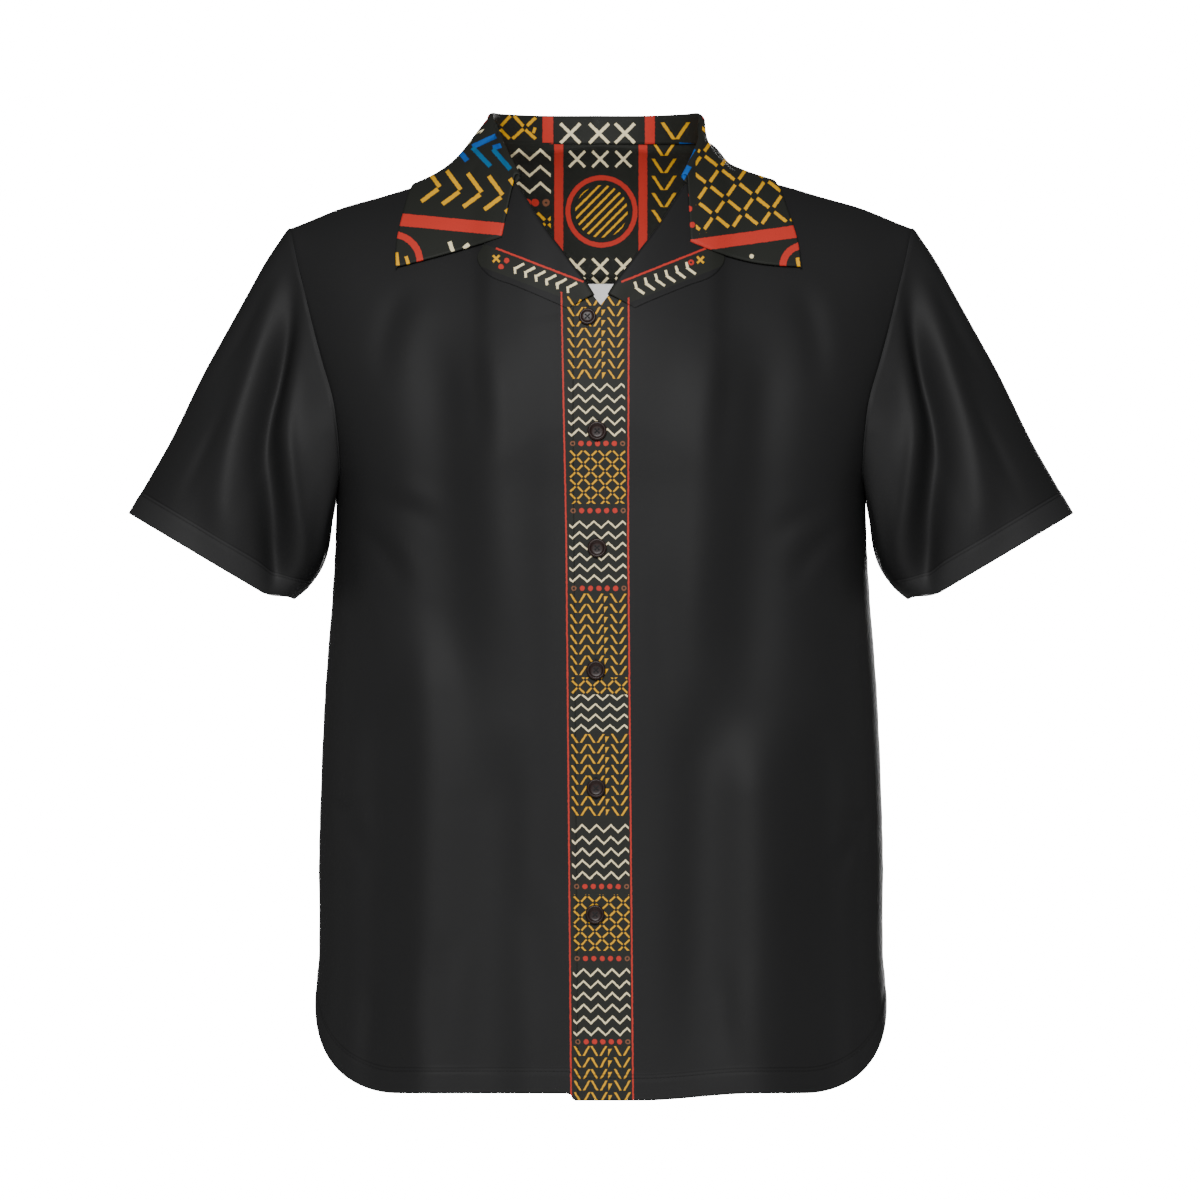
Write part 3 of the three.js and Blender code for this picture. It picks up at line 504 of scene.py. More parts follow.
def clearance(point):
    """How far places lie outside the torso, measured roughly along the normal, and that normal."""
    x, y, z = np.moveaxis(point, -1, 0)
    step = 0.2
    outward = np.where(y < 0, -1.0, 1.0)

    def height(at_x, at_y):
        front = height_at_depth("front", at_x, np.abs(at_y))
        back = height_at_depth("back", at_x, np.abs(at_y))
        return np.where(y < 0, front, back)

    here = height(x, y)
    by_x = (height(x + step, y) - height(x - step, y)) / (2 * step)
    away = (height(x, y + outward * step) - here) / (outward * step)
    normal = np.stack([-by_x, -away, np.ones_like(x)], -1)
    length = np.linalg.norm(normal, axis=-1)
    return (z - here) / length, normal / length[..., None]


def laid_at(point, lift):
    for _ in range(5):
        distance, normal = clearance(point)
        point = point + normal * (lift - distance)[..., None]
    return point


def kept_outside(point, lift):
    distance, _ = clearance(point)
    return np.where((distance < lift)[..., None], laid_at(point, lift), point)


def even_row(x, z, points, shares):
    """Places at shares of the length over the cloth."""
    lengths = np.concatenate([[0], np.cumsum(np.linalg.norm(np.diff(points, axis=0), axis=1))])
    goal = shares * lengths[-1]
    return np.interp(goal, lengths, x), np.interp(goal, lengths, z)


def closer_at_ends(count, strength=0.7):
    """Shares from 0 to 1 that lie closer together near both ends."""
    t = np.linspace(0, 1, count + 1)
    return t - strength * np.sin(2 * math.pi * t) / (2 * math.pi)


# The armhole seam as a fine line, evenly spaced over the cloth
fine = along(armhole_rows, np.linspace(0, 1, 400))
fine_x = half_width(fine["z"]) * np.sin(np.radians(fine["turn"]))
armhole_parts = 320
armhole_shares = np.linspace(0, 1, armhole_parts + 1)
armhole_x, armhole_z = even_row(fine_x, fine["z"], skin("front", fine_x, fine["z"])[0], armhole_shares)


def armhole_at(station):
    """Where the armhole seam lies at a station, from 0 at the underarm to armhole_steps."""
    place = np.asarray(station, float) / armhole_steps * armhole_parts
    parts = np.arange(armhole_parts + 1)
    return np.interp(place, parts, armhole_x), np.interp(place, parts, armhole_z)


def armhole_edge(panel, station):
    """The armhole seam on a panel, half of the seam gap short of the side and shoulder seams."""
    x, z = armhole_at(station)
    if station == 0:
        return side_edge(panel, z), z
    if station == armhole_steps:
        return shoulder_x, float(height_at_depth(panel, shoulder_x, seam_gap / 2))
    return x, z


def hem_height(panel, turn, x):
    """The hem's height at an angle round the section, with x to tell the lapped fronts apart."""
    to_side = (np.abs(turn) - hem_rise_start) / (math.pi / 2 - hem_rise_start)
    rise = hem_side_rise * np.clip(to_side, 0, 1) ** hem_rise_power
    drop = hem_top_front_drop * smooth((hem_drop_end - x) / hem_drop_fade) * (x > -lap_at_top)
    return (hem_front + rise - drop) if panel == "front" else hem_back + rise


def row_height(start, end, x, t, rise):
    """The height of a row that follows the shoulder line, and the neck's rise in it by a share."""

    def line(at):
        return shoulder_height(at) + (rise - 1) * neck_rise * np.exp(-((at / neck_rise_spread) ** 2))

    start_drop = start[1] - line(start[0])
    end_drop = end[1] - line(end[0])
    return line(x) + mix(start_drop, end_drop, t)


def front_edge(station):
    """The front's free edge at a station: up to its corner, along the top, then the roll line."""
    first = roll_line["x"][0] + roll_inset, roll_line["z"][0]
    if station <= corner_station:
        up = station / corner_station
        return front_corner[0], mix(front_edge_at_underarm, front_corner[1], up)
    if station < corner_station + 1:
        t = station - corner_station
        return mix(front_corner[0], first[0], t), mix(front_corner[1], first[1], t)
    place = (station - corner_station - 1) / (armhole_steps - corner_station - 1)
    here = along(roll_line, place)
    inset = roll_inset * min(1, (1 - place) * 6)
    return float(here["x"]) + inset, float(here["z"])


def lap_sink(hand, x):
    """The under front sinks behind the top one near the middle."""
    if hand > 0:
        return 0 * x
    return -(front_wall + lap_gap) * smooth((lap_sink_from - x) / (lap_sink_from - lap_sink_to))


def rows_below_armhole():
    """Shares of the way from the hem to the underarm, closer together at the hem."""
    rise = np.linspace(0, 1, 156)[:-1]
    return rise - row_crowding * np.sin(math.pi * rise) / math.pi * (1 - rise)


def front_rows():
    """Fine stations up the armhole: closer together at the shoulder, where the cloth turns over."""
    per_station = 5
    below = np.linspace(0, armhole_steps - 1, (armhole_steps - 1) * per_station + 1)
    over = armhole_steps - (1 - np.linspace(0, 1, 9)[1:]) ** 1.6
    return np.concatenate([below, over])


def front_panel(hand):
    """A front's grid, hem to shoulder and free edge to side, as points and normals."""
    shares = closer_at_ends(92)
    t = np.linspace(0, 1, 161)
    xs, zs = [], []

    def add_row(start, end, height_at):
        start_turn = math.asin(start[0] / half_width(start[1]))
        end_turn = math.asin(min(1, end[0] / half_width(end[1])))
        turn = mix(start_turn, end_turn, t)
        guess = half_width(mix(start[1], end[1], t)) * np.sin(turn)
        z = height_at(guess, t, turn)
        x = half_width(z) * np.sin(turn)
        x[-1], z[-1] = end
        x, z = even_row(x, z, skin("front", hand * x, z)[0], shares)
        xs.append(x)
        zs.append(z)

    underarm = front_edge(0)
    corner = armhole_edge("front", 0)
    for share in rows_below_armhole():
        side_z = mix(hem_height("front", math.pi / 2, hand * 220), corner[1], share)

        def height_at(x, t, turn, share=share):
            hem = hem_height("front", turn, hand * x)
            return mix(hem, row_height(underarm, corner, x, t, 0), share)

        start_x = -mix(lap_at_hem, lap_at_top, share)
        start = start_x, float(height_at(np.array(start_x), 0, 0))
        add_row(start, (float(side_edge("front", side_z)), side_z), height_at)
    for station in front_rows():
        start, end = front_edge(station), armhole_edge("front", station)
        rise = smooth((station - corner_station - 1) / (armhole_steps - corner_station - 1))
        if station == armhole_steps:
            x = mix(neck_point, shoulder_x, t)
            z = height_at_depth("front", x, seam_gap / 2)
            x, z = even_row(x, z, skin("front", hand * x, z)[0], shares)
            xs.append(x)
            zs.append(z)
        else:
            add_row(start, end, lambda x, t, turn: row_height(start, end, x, t, rise))
    x, z = np.array(xs), np.array(zs)
    points, normals = skin("front", hand * x, z)
    points = points + normals * lap_sink(hand, x)[..., None]
    return points, normals


def back_top(x):
    """The back's top edge: the shoulder seam, and the neckline between the neck points."""
    across = np.minimum(1, np.abs(x) / neck_point)
    out = np.maximum(seam_gap / 2, nape_depth * np.sqrt(1 - across**2))
    return height_at_depth("back", x, out)


def back_rows(stations, rise):
    """The back's places, row by row from the hem to the shoulders, as x and z."""
    neck_turn = math.asin(neck_point / shoulder_x)
    in_neck = 60
    fine_turns = np.concatenate([
        np.linspace(0, neck_turn, in_neck),
        np.linspace(neck_turn, math.pi / 2, 160)[1:],
    ])
    middle, sides = np.linspace(0, 1, 27), closer_at_ends(62)[1:]
    inner = slice(0, in_neck)
    outer = slice(in_neck - 1, None)
    yoke_foot = armhole_at(yoke_station)[1]
    corner = armhole_edge("back", 0)
    xs, zs = [], []

    def add_row(x, z):
        points = skin("back", x, z)[0]
        x_in, z_in = even_row(x[inner], z[inner], points[inner], middle)
        x_out, z_out = even_row(x[outer], z[outer], points[outer], sides)
        x_half, z_half = np.concatenate([x_in, x_out]), np.concatenate([z_in, z_out])
        xs.append(np.concatenate([-x_half[:0:-1], x_half]))
        zs.append(np.concatenate([z_half[:0:-1], z_half]))

    for share in rise:
        z = mix(hem_height("back", fine_turns, 0), corner[1], share)
        add_row(side_edge("back", z) * np.sin(fine_turns), z)
    for station in stations:
        edge = armhole_edge("back", station)
        top = back_top(shoulder_x * np.sin(fine_turns))
        full = shoulder_height(shoulder_x) - yoke_foot
        if station <= yoke_station:
            z = np.full_like(fine_turns, armhole_at(station)[1])
        else:
            z = mix(yoke_foot, top, (edge[1] - yoke_foot) / full)
        z[-1] = edge[1]
        add_row(edge[0] * np.sin(fine_turns), z)
    return np.array(xs), np.array(zs)


def back_panel():
    x, z = back_rows(front_rows(), rows_below_armhole())
    return skin("back", x, z)


def inner_yoke():
    """The inner yoke's grid, inside the back and short of its side seams."""
    stations = front_rows()
    x, z = back_rows(stations[stations >= yoke_station], [])
    short = int(x.shape[1] * yoke_side_share)
    x, z = x[:, short:-short], z[:, short:-short]
    foot = np.arange(yoke_foot_rows)[:, None] / yoke_foot_rows
    z[:yoke_foot_rows] -= yoke_foot_drop * (1 - foot)
    points, normals = skin("back", x, z)
    points = points - normals * (front_wall + yoke_gap)
    top = points[-1:]
    level = 0 * top[..., 2]
    in_neck = np.abs(top[..., 0]) < neck_point - 3
    least_climb = 0.3
    climb = np.where(in_neck, np.maximum(least_climb, yoke_top_height - top[..., 2]), least_climb)
    added_rows = 4
    added = [
        top + np.stack([level, level, climb * k / added_rows], -1) for k in range(1, added_rows + 1)
    ]
    return np.concatenate([points, *added]), -np.concatenate([normals] + [normals[-1:]] * added_rows)


def cuff_point(turn):
    """The cuff's oval at an angle from its outer end, round by the front, on the wearer's left."""
    middle = np.add(cuff_outer, cuff_inner) / 2
    half = np.subtract(cuff_outer, cuff_inner) / 2

    def bent(f):
        return np.sign(f) * np.abs(f) ** (2 / cuff_power)

    wide = bent(np.cos(turn))
    low = (1 - np.cos(turn)) / 2
    lift = cuff_bottom_lift * smooth((low - cuff_lift_from) / (1 - cuff_lift_from))
    return np.stack([
        middle[0] + half[0] * wide,
        -cuff_half_depth * bent(np.sin(turn)),
        middle[1] + half[1] * wide + lift,
    ], -1)


def tube_normals(rows):
    """The outward normals of a tube of points whose columns close round."""
    around = np.roll(rows, -1, 1) - np.roll(rows, 1, 1)
    down = np.concatenate([rows[1:2] - rows[:1], rows[2:] - rows[:-2], rows[-1:] - rows[-2:-1]])
    normal = unit(np.cross(around, down))
    outwards = rows - rows.mean(1, keepdims=True)
    return normal * np.where((normal * outwards).sum(-1, keepdims=True) < 0, -1, 1)


def sleeve_roots(per_station):
    """The points of the armhole round a sleeve, from the shoulder down the front and up the back."""
    count = armhole_steps * per_station
    stations = [armhole_steps * (1 - k / count) for k in range(count + 1)]
    stations += [armhole_steps * k / count for k in range(1, count)]
    roots, outs = [], []
    for k, station in enumerate(stations):
        panel = "front" if k <= count else "back"
        x, z = armhole_edge(panel, station)
        point, normal = skin(panel, x, z)
        if station in (0, armhole_steps):
            point[1] = 0
        roots.append(point)
        outs.append(normal)
    return np.array(roots), np.array(outs), np.array(stations) / armhole_steps


def sleeve_panel():
    """A sleeve's grid, armhole to cuff and round from the shoulder, on the wearer's left."""
    roots, outs, station_share = sleeve_roots(5)
    count = len(roots)
    turn = np.arange(count) / count * 2 * math.pi
    low = (1 - np.cos(turn)) / 2
    fall = np.radians(np.where(
        low < 0.5,
        mix(sleeve_fall["top"], sleeve_fall["middle"], smooth(low * 2)),
        mix(sleeve_fall["middle"], sleeve_fall["bottom"], smooth(low * 2 - 1)),
    ))
    leaves = np.stack([np.cos(fall), 0 * fall, -np.sin(fall)], -1)
    across = unit(np.array([cuff_inner[0] - cuff_outer[0], 0, cuff_inner[1] - cuff_outer[1]]))
    arrives = np.array([-across[2], 0, across[0]])
    end = cuff_point(turn)
    tuck = smooth((low - sleeve_tuck["from"]) / (1 - sleeve_tuck["from"]))
    before = end - arrives * (sleeve_arrives * (1 - sleeve_tuck["arrives"] * tuck))[:, None]
    before[:, 0] -= sleeve_tuck["x"] * tuck
    before[:, 2] += sleeve_tuck["z"] * tuck
    after = roots + leaves * (sleeve_leaves * (1 - sleeve_tuck["leaves"] * tuck))[:, None]
    t = closer_at_ends(84, 0.6)[:, None, None]
    s = 1 - t
    rows = s**3 * roots + 3 * s * s * t * after + 3 * s * t * t * before + t**3 * end
    plain = tube_normals(rows)
    depth = 0
    degrees = np.degrees(turn)
    for group in (sleeve_folds, sleeve_creases):
        for head, foot, width, deep, start, finish in zip(*group.values()):
            fade = smooth((t - start) / sleeve_fold_fade) * smooth((finish - t) / sleeve_fold_fade)
            off = degrees[:, None] - mix(head, foot, t)
            depth = depth + deep * fade * np.exp(-((off / width) ** 2))
    rows = rows + plain * depth
    toward = unit(rows[1] - rows[0])
    rows[0] += toward * seam_gap
    rows[0, :, 2] += sleeve_seam_lift * smooth(1 - station_share / sleeve_seam_lift_to)
    under = roots - outs * tucked_under["in"] - np.array([tucked_under["back"], 0, 0])
    return rows, tube_normals(rows), under


def facing_panel(hand):
    """A facing's grid: from inside the front, round its soft roll, and out to its free edge."""
    here = along(facing_sections, np.linspace(0, 1, 90))
    across = closer_at_ends(26, 0.5)
    x = mix(here["roll_x"][:, None] + roll_inset, here["tip_x"][:, None], across)
    z = mix(here["roll_z"][:, None], here["tip_z"][:, None], across)
    points, normals = skin("front", hand * x, z)
    lift = mix(facing_lift["roll"], facing_lift["tip"], smooth(across)) + facing_wall
    lift = lift + lap_sink(hand, x)
    face = points + normals * lift[..., None]
    base, out = points[:, 0], normals[:, 0]
    inward = unit(base - face[:, 4] + out * ((face[:, 4] - base) * out).sum(-1, keepdims=True))
    top_lift = lift[:, :1]
    under = lap_sink(hand, x)[:, :1] - front_wall - 0.9
    radius = (top_lift - under) / 2
    centre = base + out * (top_lift + under) / 2
    roll = [
        centre + out * radius * math.cos(a) + inward * radius * math.sin(a)
        for a in np.linspace(math.pi, 0, facing_roll_columns + 1)[:-1]
    ]
    hidden = [base + out * under - inward * deep for deep in facing_hidden]
    return np.concatenate([np.stack(hidden + roll, 1), face], 1)


def neckline(share):
    """The neckline that the collar is sewn to, from the nape at 0 to its front end at 1."""
    turn = math.pi / 2 * (1 - np.minimum(share, neck_back_share) / neck_back_share)
    x_back = neck_point * np.cos(turn)
    z_back = height_at_depth("back", x_back, np.maximum(seam_gap, nape_depth * np.sin(turn)))
    back = skin("back", x_back, z_back)
    t = np.clip((share - neck_back_share) / (1 - neck_back_share), 0, 1)
    x_front = mix(neck_point, collar_seam_end, t)
    above = {name: column[5:] for name, column in roll_line.items()}
    first = above["x"][0]
    z_line = along(above, (x_front - first) / (neck_point - first))["z"]
    front = skin("front", x_front, np.minimum(z_line, height_at_depth("front", x_front, seam_gap)))
    on_back = (share <= neck_back_share)[:, None]
    return np.where(on_back, back[0], front[0]), np.where(on_back, back[1], front[1])


def collar_half(hand, count):
    """Half of the collar's sections, from the nape forwards, each from its foot over the roll."""
    share = np.linspace(0, 1, count + 1)
    row, lean = along(collar_stations, share), along(collar_lean, share)
    seam, normal = neckline(row["neck"])
    front = smooth((share - collar_front_from) / (1 - collar_front_from))
    on_facing = facing_lift["roll"] + facing_wall + seam_gap
    seat = seam + normal * mix(collar_seat_gap, on_facing, front)[:, None]
    lean_x = hand * lean["roll"]
    roll = np.stack([row["roll_x"] + lean_x, row["roll_y"], row["roll_z"]], -1)
    roll = kept_outside(roll, collar_roll_lift)
    edge_lift = mix(collar_edge_lift["back"], collar_edge_lift["front"], front) + collar_wall
    edge_x = row["edge_x"] + hand * lean["edge"] + collar_tip[0] * row["bend"]
    edge = np.stack([edge_x, row["edge_y"], row["edge_z"] + collar_tip[1] * row["bend"]], -1)
    edge = laid_at(edge, edge_lift)
    up = unit(roll - seat)
    fall = edge - roll
    out = unit(fall - up * (fall * up).sum(-1, keepdims=True))
    roll_centre = roll - up * collar_roll_radius
    stand_top = roll_centre - out * collar_roll_radius
    behind = mix(collar_foot["behind"], on_facing, front)[:, None]
    inside = seam + normal * behind
    climb = np.maximum(-collar_foot["below"], (stand_foot_height - inside[:, 2]) / up[:, 2])
    foot = inside + up * (climb * (1 - front))[:, None]
    section_points = [mix(foot, stand_top, t) for t in np.linspace(0, 1, collar_stand_columns)]
    for t in np.linspace(0, 1, 9)[1:]:
        turn = math.pi * (1 - t)
        side = out * math.cos(turn) + up * math.sin(turn)
        section_points.append(roll_centre + side * collar_roll_radius)
    start = section_points[-1]
    bend = row["bend"]
    leaf = []
    shares = closer_at_ends(30, 0.5)[1:]
    deepest = collar_stations["hollow"].max()
    for t in shares:
        place = mix(start, edge, t)
        notch = t / collar_notch_at if t < collar_notch_at else (1 - t) / (1 - collar_notch_at)
        wave = math.sin(math.pi * t)
        rounded = mix(wave, notch, bend)
        share_kept, power, lower = collar_hollow[hand]
        sunk = row["hollow"] * share_kept * math.sin(math.pi * t**power)
        sunk = sunk + lower * row["hollow"] / deepest * math.sin(math.pi * t * t)
        place[:, 0] += collar_notch[hand][0] * bend * rounded - sunk
        past = max(0, t - collar_notch_at) / (1 - collar_notch_at)
        bulge = collar_bulge[hand] * math.sin(math.pi * past)
        place[:, 2] += bend * (collar_notch[hand][1] * rounded - bulge)
        lift = mix(mix(edge_lift, collar_under_lift + collar_wall, wave), edge_lift, t * t)
        over_dip = collar_stands_off[hand] * (1 - t) * np.maximum(0, shoulder_sag(place[:, 0]))
        kept = kept_outside(place, lift + over_dip)
        if t < 1:
            flat, _ = skin("front", place[:, 0], place[:, 2], lift)
            kept = mix(kept, flat, smooth(bend)[:, None])
        leaf.append(kept)
    corner = int(np.argmax(shares >= collar_notch_at))
    for k in range(corner):
        straight = mix(start, leaf[corner], shares[k] / shares[corner])
        leaf[k] = mix(leaf[k], straight, smooth(bend)[:, None])
    return np.stack(section_points + leaf, 1)


def collar_panel():
    left, right = collar_half(1, 96), collar_half(-1, 96)
    mirrored = right[:0:-1] * np.array([-1, 1, 1])
    return np.concatenate([mirrored, left])


# Grids become meshes


def lengths_along(points, axis):
    """The distance over the cloth from the first row or column of a grid of points."""
    steps = np.linalg.norm(np.diff(points, axis=axis), axis=-1)
    first = np.zeros_like(np.take(points[..., 0], [0], axis))
    return np.concatenate([first, np.cumsum(steps, axis=axis)], axis)


def cloth_mesh(name, points, outwards, marks=None, tube=False):
    """A sheet from a grid of points, facing outwards. Its marks are values at its points."""
    rows, columns = points.shape[:2]
    if tube:
        points = np.concatenate([points, points[:, :1]], 1)
        outwards = np.concatenate([outwards, outwards[:, :1]], 1)
        marks = {k: np.concatenate([v, v[:, :1]], 1) for k, v in (marks or {}).items()}
        columns += 1
    across = points[1:-1, 2:] - points[1:-1, :-2]
    up = points[2:, 1:-1] - points[:-2, 1:-1]
    if (np.cross(across, up) * outwards[1:-1, 1:-1]).sum() < 0:
        points = points[:, ::-1]
        marks = {k: v[:, ::-1] for k, v in (marks or {}).items()}
    grid = bmesh.new()
    bmesh.ops.create_grid(grid, x_segments=columns - 1, y_segments=rows - 1, size=0.5)
    mesh = bpy.data.meshes.new(name)
    grid.to_mesh(mesh)
    grid.free()
    flat = np.zeros(len(mesh.vertices) * 3, np.float32)
    mesh.vertices.foreach_get("co", flat)
    flat = flat.reshape(-1, 3)
    column = np.rint((flat[:, 0] + 0.5) * (columns - 1)).astype(int)
    row = np.rint((flat[:, 1] + 0.5) * (rows - 1)).astype(int)
    mesh.vertices.foreach_set("co", (points[row, column] * MM).astype(np.float32).ravel())
    for key, values in (marks or {}).items():
        layer = mesh.attributes.new(key, "FLOAT", "POINT")
        layer.data.foreach_set("value", values[row, column].astype(np.float32))
    u = lengths_along(points, 1)
    v = lengths_along(points, 0)
    corners = np.zeros(len(mesh.loops), np.int32)
    mesh.loops.foreach_get("vertex_index", corners)
    uv = np.stack([u[row, column], v[row, column]], -1)[corners] * MM
    mesh.uv_layers.new(name="Cloth").data.foreach_set("uv", uv.astype(np.float32).ravel())
    if tube:
        welded = bmesh.new()
        welded.from_mesh(mesh)
        bmesh.ops.remove_doubles(welded, verts=welded.verts, dist=1e-6)
        welded.to_mesh(mesh)
        welded.free()
    mesh.shade_smooth()
    piece = bpy.data.objects.new(name, mesh)
    bpy.context.scene.collection.objects.link(piece)
    return piece


def give_thickness(piece, thick, outer, inner, into=-1):
    """Gives a sheet its thickness behind its face, with another finish on its inner side."""
    piece.data.materials.append(outer)
    piece.data.materials.append(inner)
    solid = piece.modifiers.new("Thickness", "SOLIDIFY")
    solid.thickness = thick * MM
    solid.offset = into
    solid.material_offset = 1
    solid.material_offset_rim = 0
    solid.use_even_offset = False
    return piece


def seam_marks(points, hem_row, seam_columns, seam_rows):
    """Distances over the cloth to the hem and to the nearest seam, for a panel's grid."""
    across, up = lengths_along(points, 1), lengths_along(points, 0)
    far = np.full(points.shape[:2], far_away)
    seam = far.copy()
    if "first" in seam_columns:
        seam = np.minimum(seam, across)
    if "last" in seam_columns:
        seam = np.minimum(seam, across[:, -1:] - across)
    if "last" in seam_rows:
        seam = np.minimum(seam, up[-1:] - up)
    if "first" in seam_rows:
        seam = np.minimum(seam, up)
    hem = {"first": up, "last": up[-1:] - up}.get(hem_row, far)
    return {"hem": hem, "seam": seam}


def lapped(points, normals, marks):
    """The back with a row and columns more at its seams, which run on under the fronts' edges."""
    on, deep = seam_allowance["on"], seam_allowance["in"]
    corner = armhole_edge("back", 0)[1]

    def under(edge, outs, joined):
        lap = edge - outs * deep - np.array([0, on, 0])
        return np.where(joined[:, None], lap, edge - outs * seam_allowance["at_neck"])

    top = under(points[-1], normals[-1], np.abs(points[-1, :, 0]) > neck_point)
    points = np.concatenate([points, top[None]])
    normals = np.concatenate([normals, normals[-1:]])
    sides = [under(points[:, k], normals[:, k], points[:, k, 2] < corner) for k in (0, -1)]
    points = np.concatenate([sides[0][:, None], points, sides[1][:, None]], 1)
    normals = np.concatenate([normals[:, :1], normals, normals[:, -1:]], 1)
    wider = {key: np.pad(value, ((0, 1), (1, 1)), "edge") for key, value in marks.items()}
    return points, normals, wider


def tucked(points, normals, marks, under):
    """A sleeve with one more row at its head, which runs on under the edge of the body's cloth."""
    marks = {key: np.concatenate([value[:1], value]) for key, value in marks.items()}
    return np.concatenate([under[None], points]), np.concatenate([normals[:1], normals]), marks


def sewn(points, normals, marks):
    """Presses the cloth in along its seams, and lets its turned hem stand a little proud."""
    groove = seam_groove * np.exp(-((marks["seam"] / seam_groove_half) ** 2))
    z = points[..., 2]
    ripple = pucker["height"] * np.sin(z / pucker["ripple"] + 2 * np.sin(z / pucker["sway"]))
    starts = 1 - np.exp(-((marks["seam"] / pucker["starts"]) ** 2))
    puckers = ripple * np.exp(-marks["seam"] / pucker["reach"]) * starts
    band = hem_band * smooth((hem_turned + hem_edge_soft - marks["hem"]) / (2 * hem_edge_soft))
    off_stitch = marks["hem"] - hem_turned + hem_stitch["in"]
    stitch = hem_stitch["depth"] * np.exp(-((off_stitch / hem_stitch["half"]) ** 2))
    return points + normals * (band - stitch - groove + puckers)[..., None]


# Materials


class Number:
    """A number in a material's nodes. Its operators add Math nodes."""

    def __init__(self, finish, socket):
        self.finish = finish
        self.socket = socket

    def maths(self, operation, *others, clamp=False):
        settings = {"operation": operation, "use_clamp": clamp}
        return self.finish.node("ShaderNodeMath", settings, dict(enumerate((self, *others))))["Value"]

    def __add__(self, other):
        return self.maths("ADD", other)

    __radd__ = __add__

    def __mul__(self, other):
        return self.maths("MULTIPLY", other)

    __rmul__ = __mul__

    def __sub__(self, other):
        return self.maths("SUBTRACT", other)

    def __rsub__(self, other):
        settings = {"operation": "SUBTRACT"}
        return self.finish.node("ShaderNodeMath", settings, {0: other, 1: self})["Value"]

    def __truediv__(self, other):
        return self.maths("DIVIDE", other)

    def __neg__(self):
        return self * -1

    def __abs__(self):
        return self.maths("ABSOLUTE")

    def above(self, other):
        return self.maths("GREATER_THAN", other)

    def below(self, other):
        return self.maths("LESS_THAN", other)

    def within(self, low, high):
        return self.maths("COMPARE", (low + high) / 2, (high - low) / 2)

    def least(self, other):
        return self.maths("MINIMUM", other)

    def most(self, other):
        return self.maths("MAXIMUM", other)

    def clamped(self):
        return self.maths("ADD", 0.0, clamp=True)

    def floor(self):
        return self.maths("FLOOR")

    def cell(self, pitch):
        """The distance from the middle of the cell of a repeat that this lies in."""
        return ((self / pitch).maths("FRACT") - 0.5) * pitch

    def stroke(self, half, soft=0.35):
        """1 inside half of a stroke's width, fading to 0 outside it."""
        return ((half - self) * (1 / soft) + 0.5).maths("ADD", 0.0, clamp=True)


class Finish:
    """A material and its nodes."""

    def __init__(self, name, roughness, sheen=0.0, specular=0.5):
        self.material = bpy.data.materials.new(name)
        self.material.use_nodes = True
        self.tree = self.material.node_tree
        self.shader = self.tree.nodes["Principled BSDF"]
        self.shader.inputs["Roughness"].default_value = roughness
        self.shader.inputs["Sheen Weight"].default_value = sheen
        self.shader.inputs["Sheen Roughness"].default_value = 0.45
        self.shader.inputs["Specular IOR Level"].default_value = specular

    def put(self, value, socket):
        if isinstance(value, Number):
            self.tree.links.new(value.socket, socket)
        elif isinstance(value, bpy.types.NodeSocket):
            self.tree.links.new(value, socket)
        else:
            socket.default_value = value

    def node(self, kind, settings=None, sockets=None):
        """A node of a type, with its settings made first and then its sockets' values or links."""
        made = self.tree.nodes.new(kind)
        for name, value in (settings or {}).items():
            setattr(made, name, value)
        for name, value in (sockets or {}).items():
            self.put(value, made.inputs[name])
        return {out.name: self.read(out) for out in made.outputs if out.enabled}

    def read(self, socket):
        return Number(self, socket) if socket.type == "VALUE" else socket

    def place(self, kind="Object"):
        """The x, y and z of a place on the piece, in millimetres."""
        where = self.node("ShaderNodeTexCoord")[kind]
        parts = self.node("ShaderNodeSeparateXYZ", None, {0: where})
        return where, [parts[axis] * 1000 for axis in "XYZ"]

    def mark(self, name):
        return self.node("ShaderNodeAttribute", {"attribute_name": name})["Fac"]

    def noise(self, where, scale, detail=2.0, rough=0.5):
        found = self.node("ShaderNodeTexNoise", None, {
            "Vector": where, "Scale": scale, "Detail": detail, "Roughness": rough,
        })
        return next(v for k, v in found.items() if k in ("Fac", "Factor"))

    def blend(self, a, b, share):
        """A colour between two, as an RGB Mix node."""
        made = self.tree.nodes.new("ShaderNodeMix")
        made.data_type = "RGBA"
        self.put(share, made.inputs[0])
        for colour, socket in ((a, made.inputs[6]), (b, made.inputs[7])):
            self.put((*colour, 1) if isinstance(colour, tuple) else colour, socket)
        return made.outputs[2]

    def colour(self, value):
        self.put((*value, 1) if isinstance(value, tuple) else value, self.shader.inputs["Base Color"])

    def bump(self, height, strength, distance):
        made = self.node("ShaderNodeBump", None, {
            "Height": height, "Strength": strength, "Distance": distance * MM,
        })
        self.put(made["Normal"], self.shader.inputs["Normal"])


charcoal = (0.0145, 0.0145, 0.0148)
print_ground = (0.0185, 0.0195, 0.0165)
red = (0.53, 0.035, 0.024)
yellow = (0.80, 0.40, 0.004)
cream = (0.97, 0.85, 0.52)
blue = (0.004, 0.10, 0.42)
teal = (0.006, 0.13, 0.30)
brown_ink = (0.21, 0.085, 0.045)
reverse_colour = (0.93, 0.93, 0.94)
button_colour = (0.016, 0.0078, 0.0068)

# Hand printing: how far edges wander, and how soft they are
ink_wander = 0.42
ink_soft = 0.45

# The weave's pitch in metres, and how much each part of the cloth's surface counts
thread_pitch = 0.0007
bump_shares = {"threads": 0.04, "slub": 0.14, "pressed": 0.9}
cloth_specular = 0.14


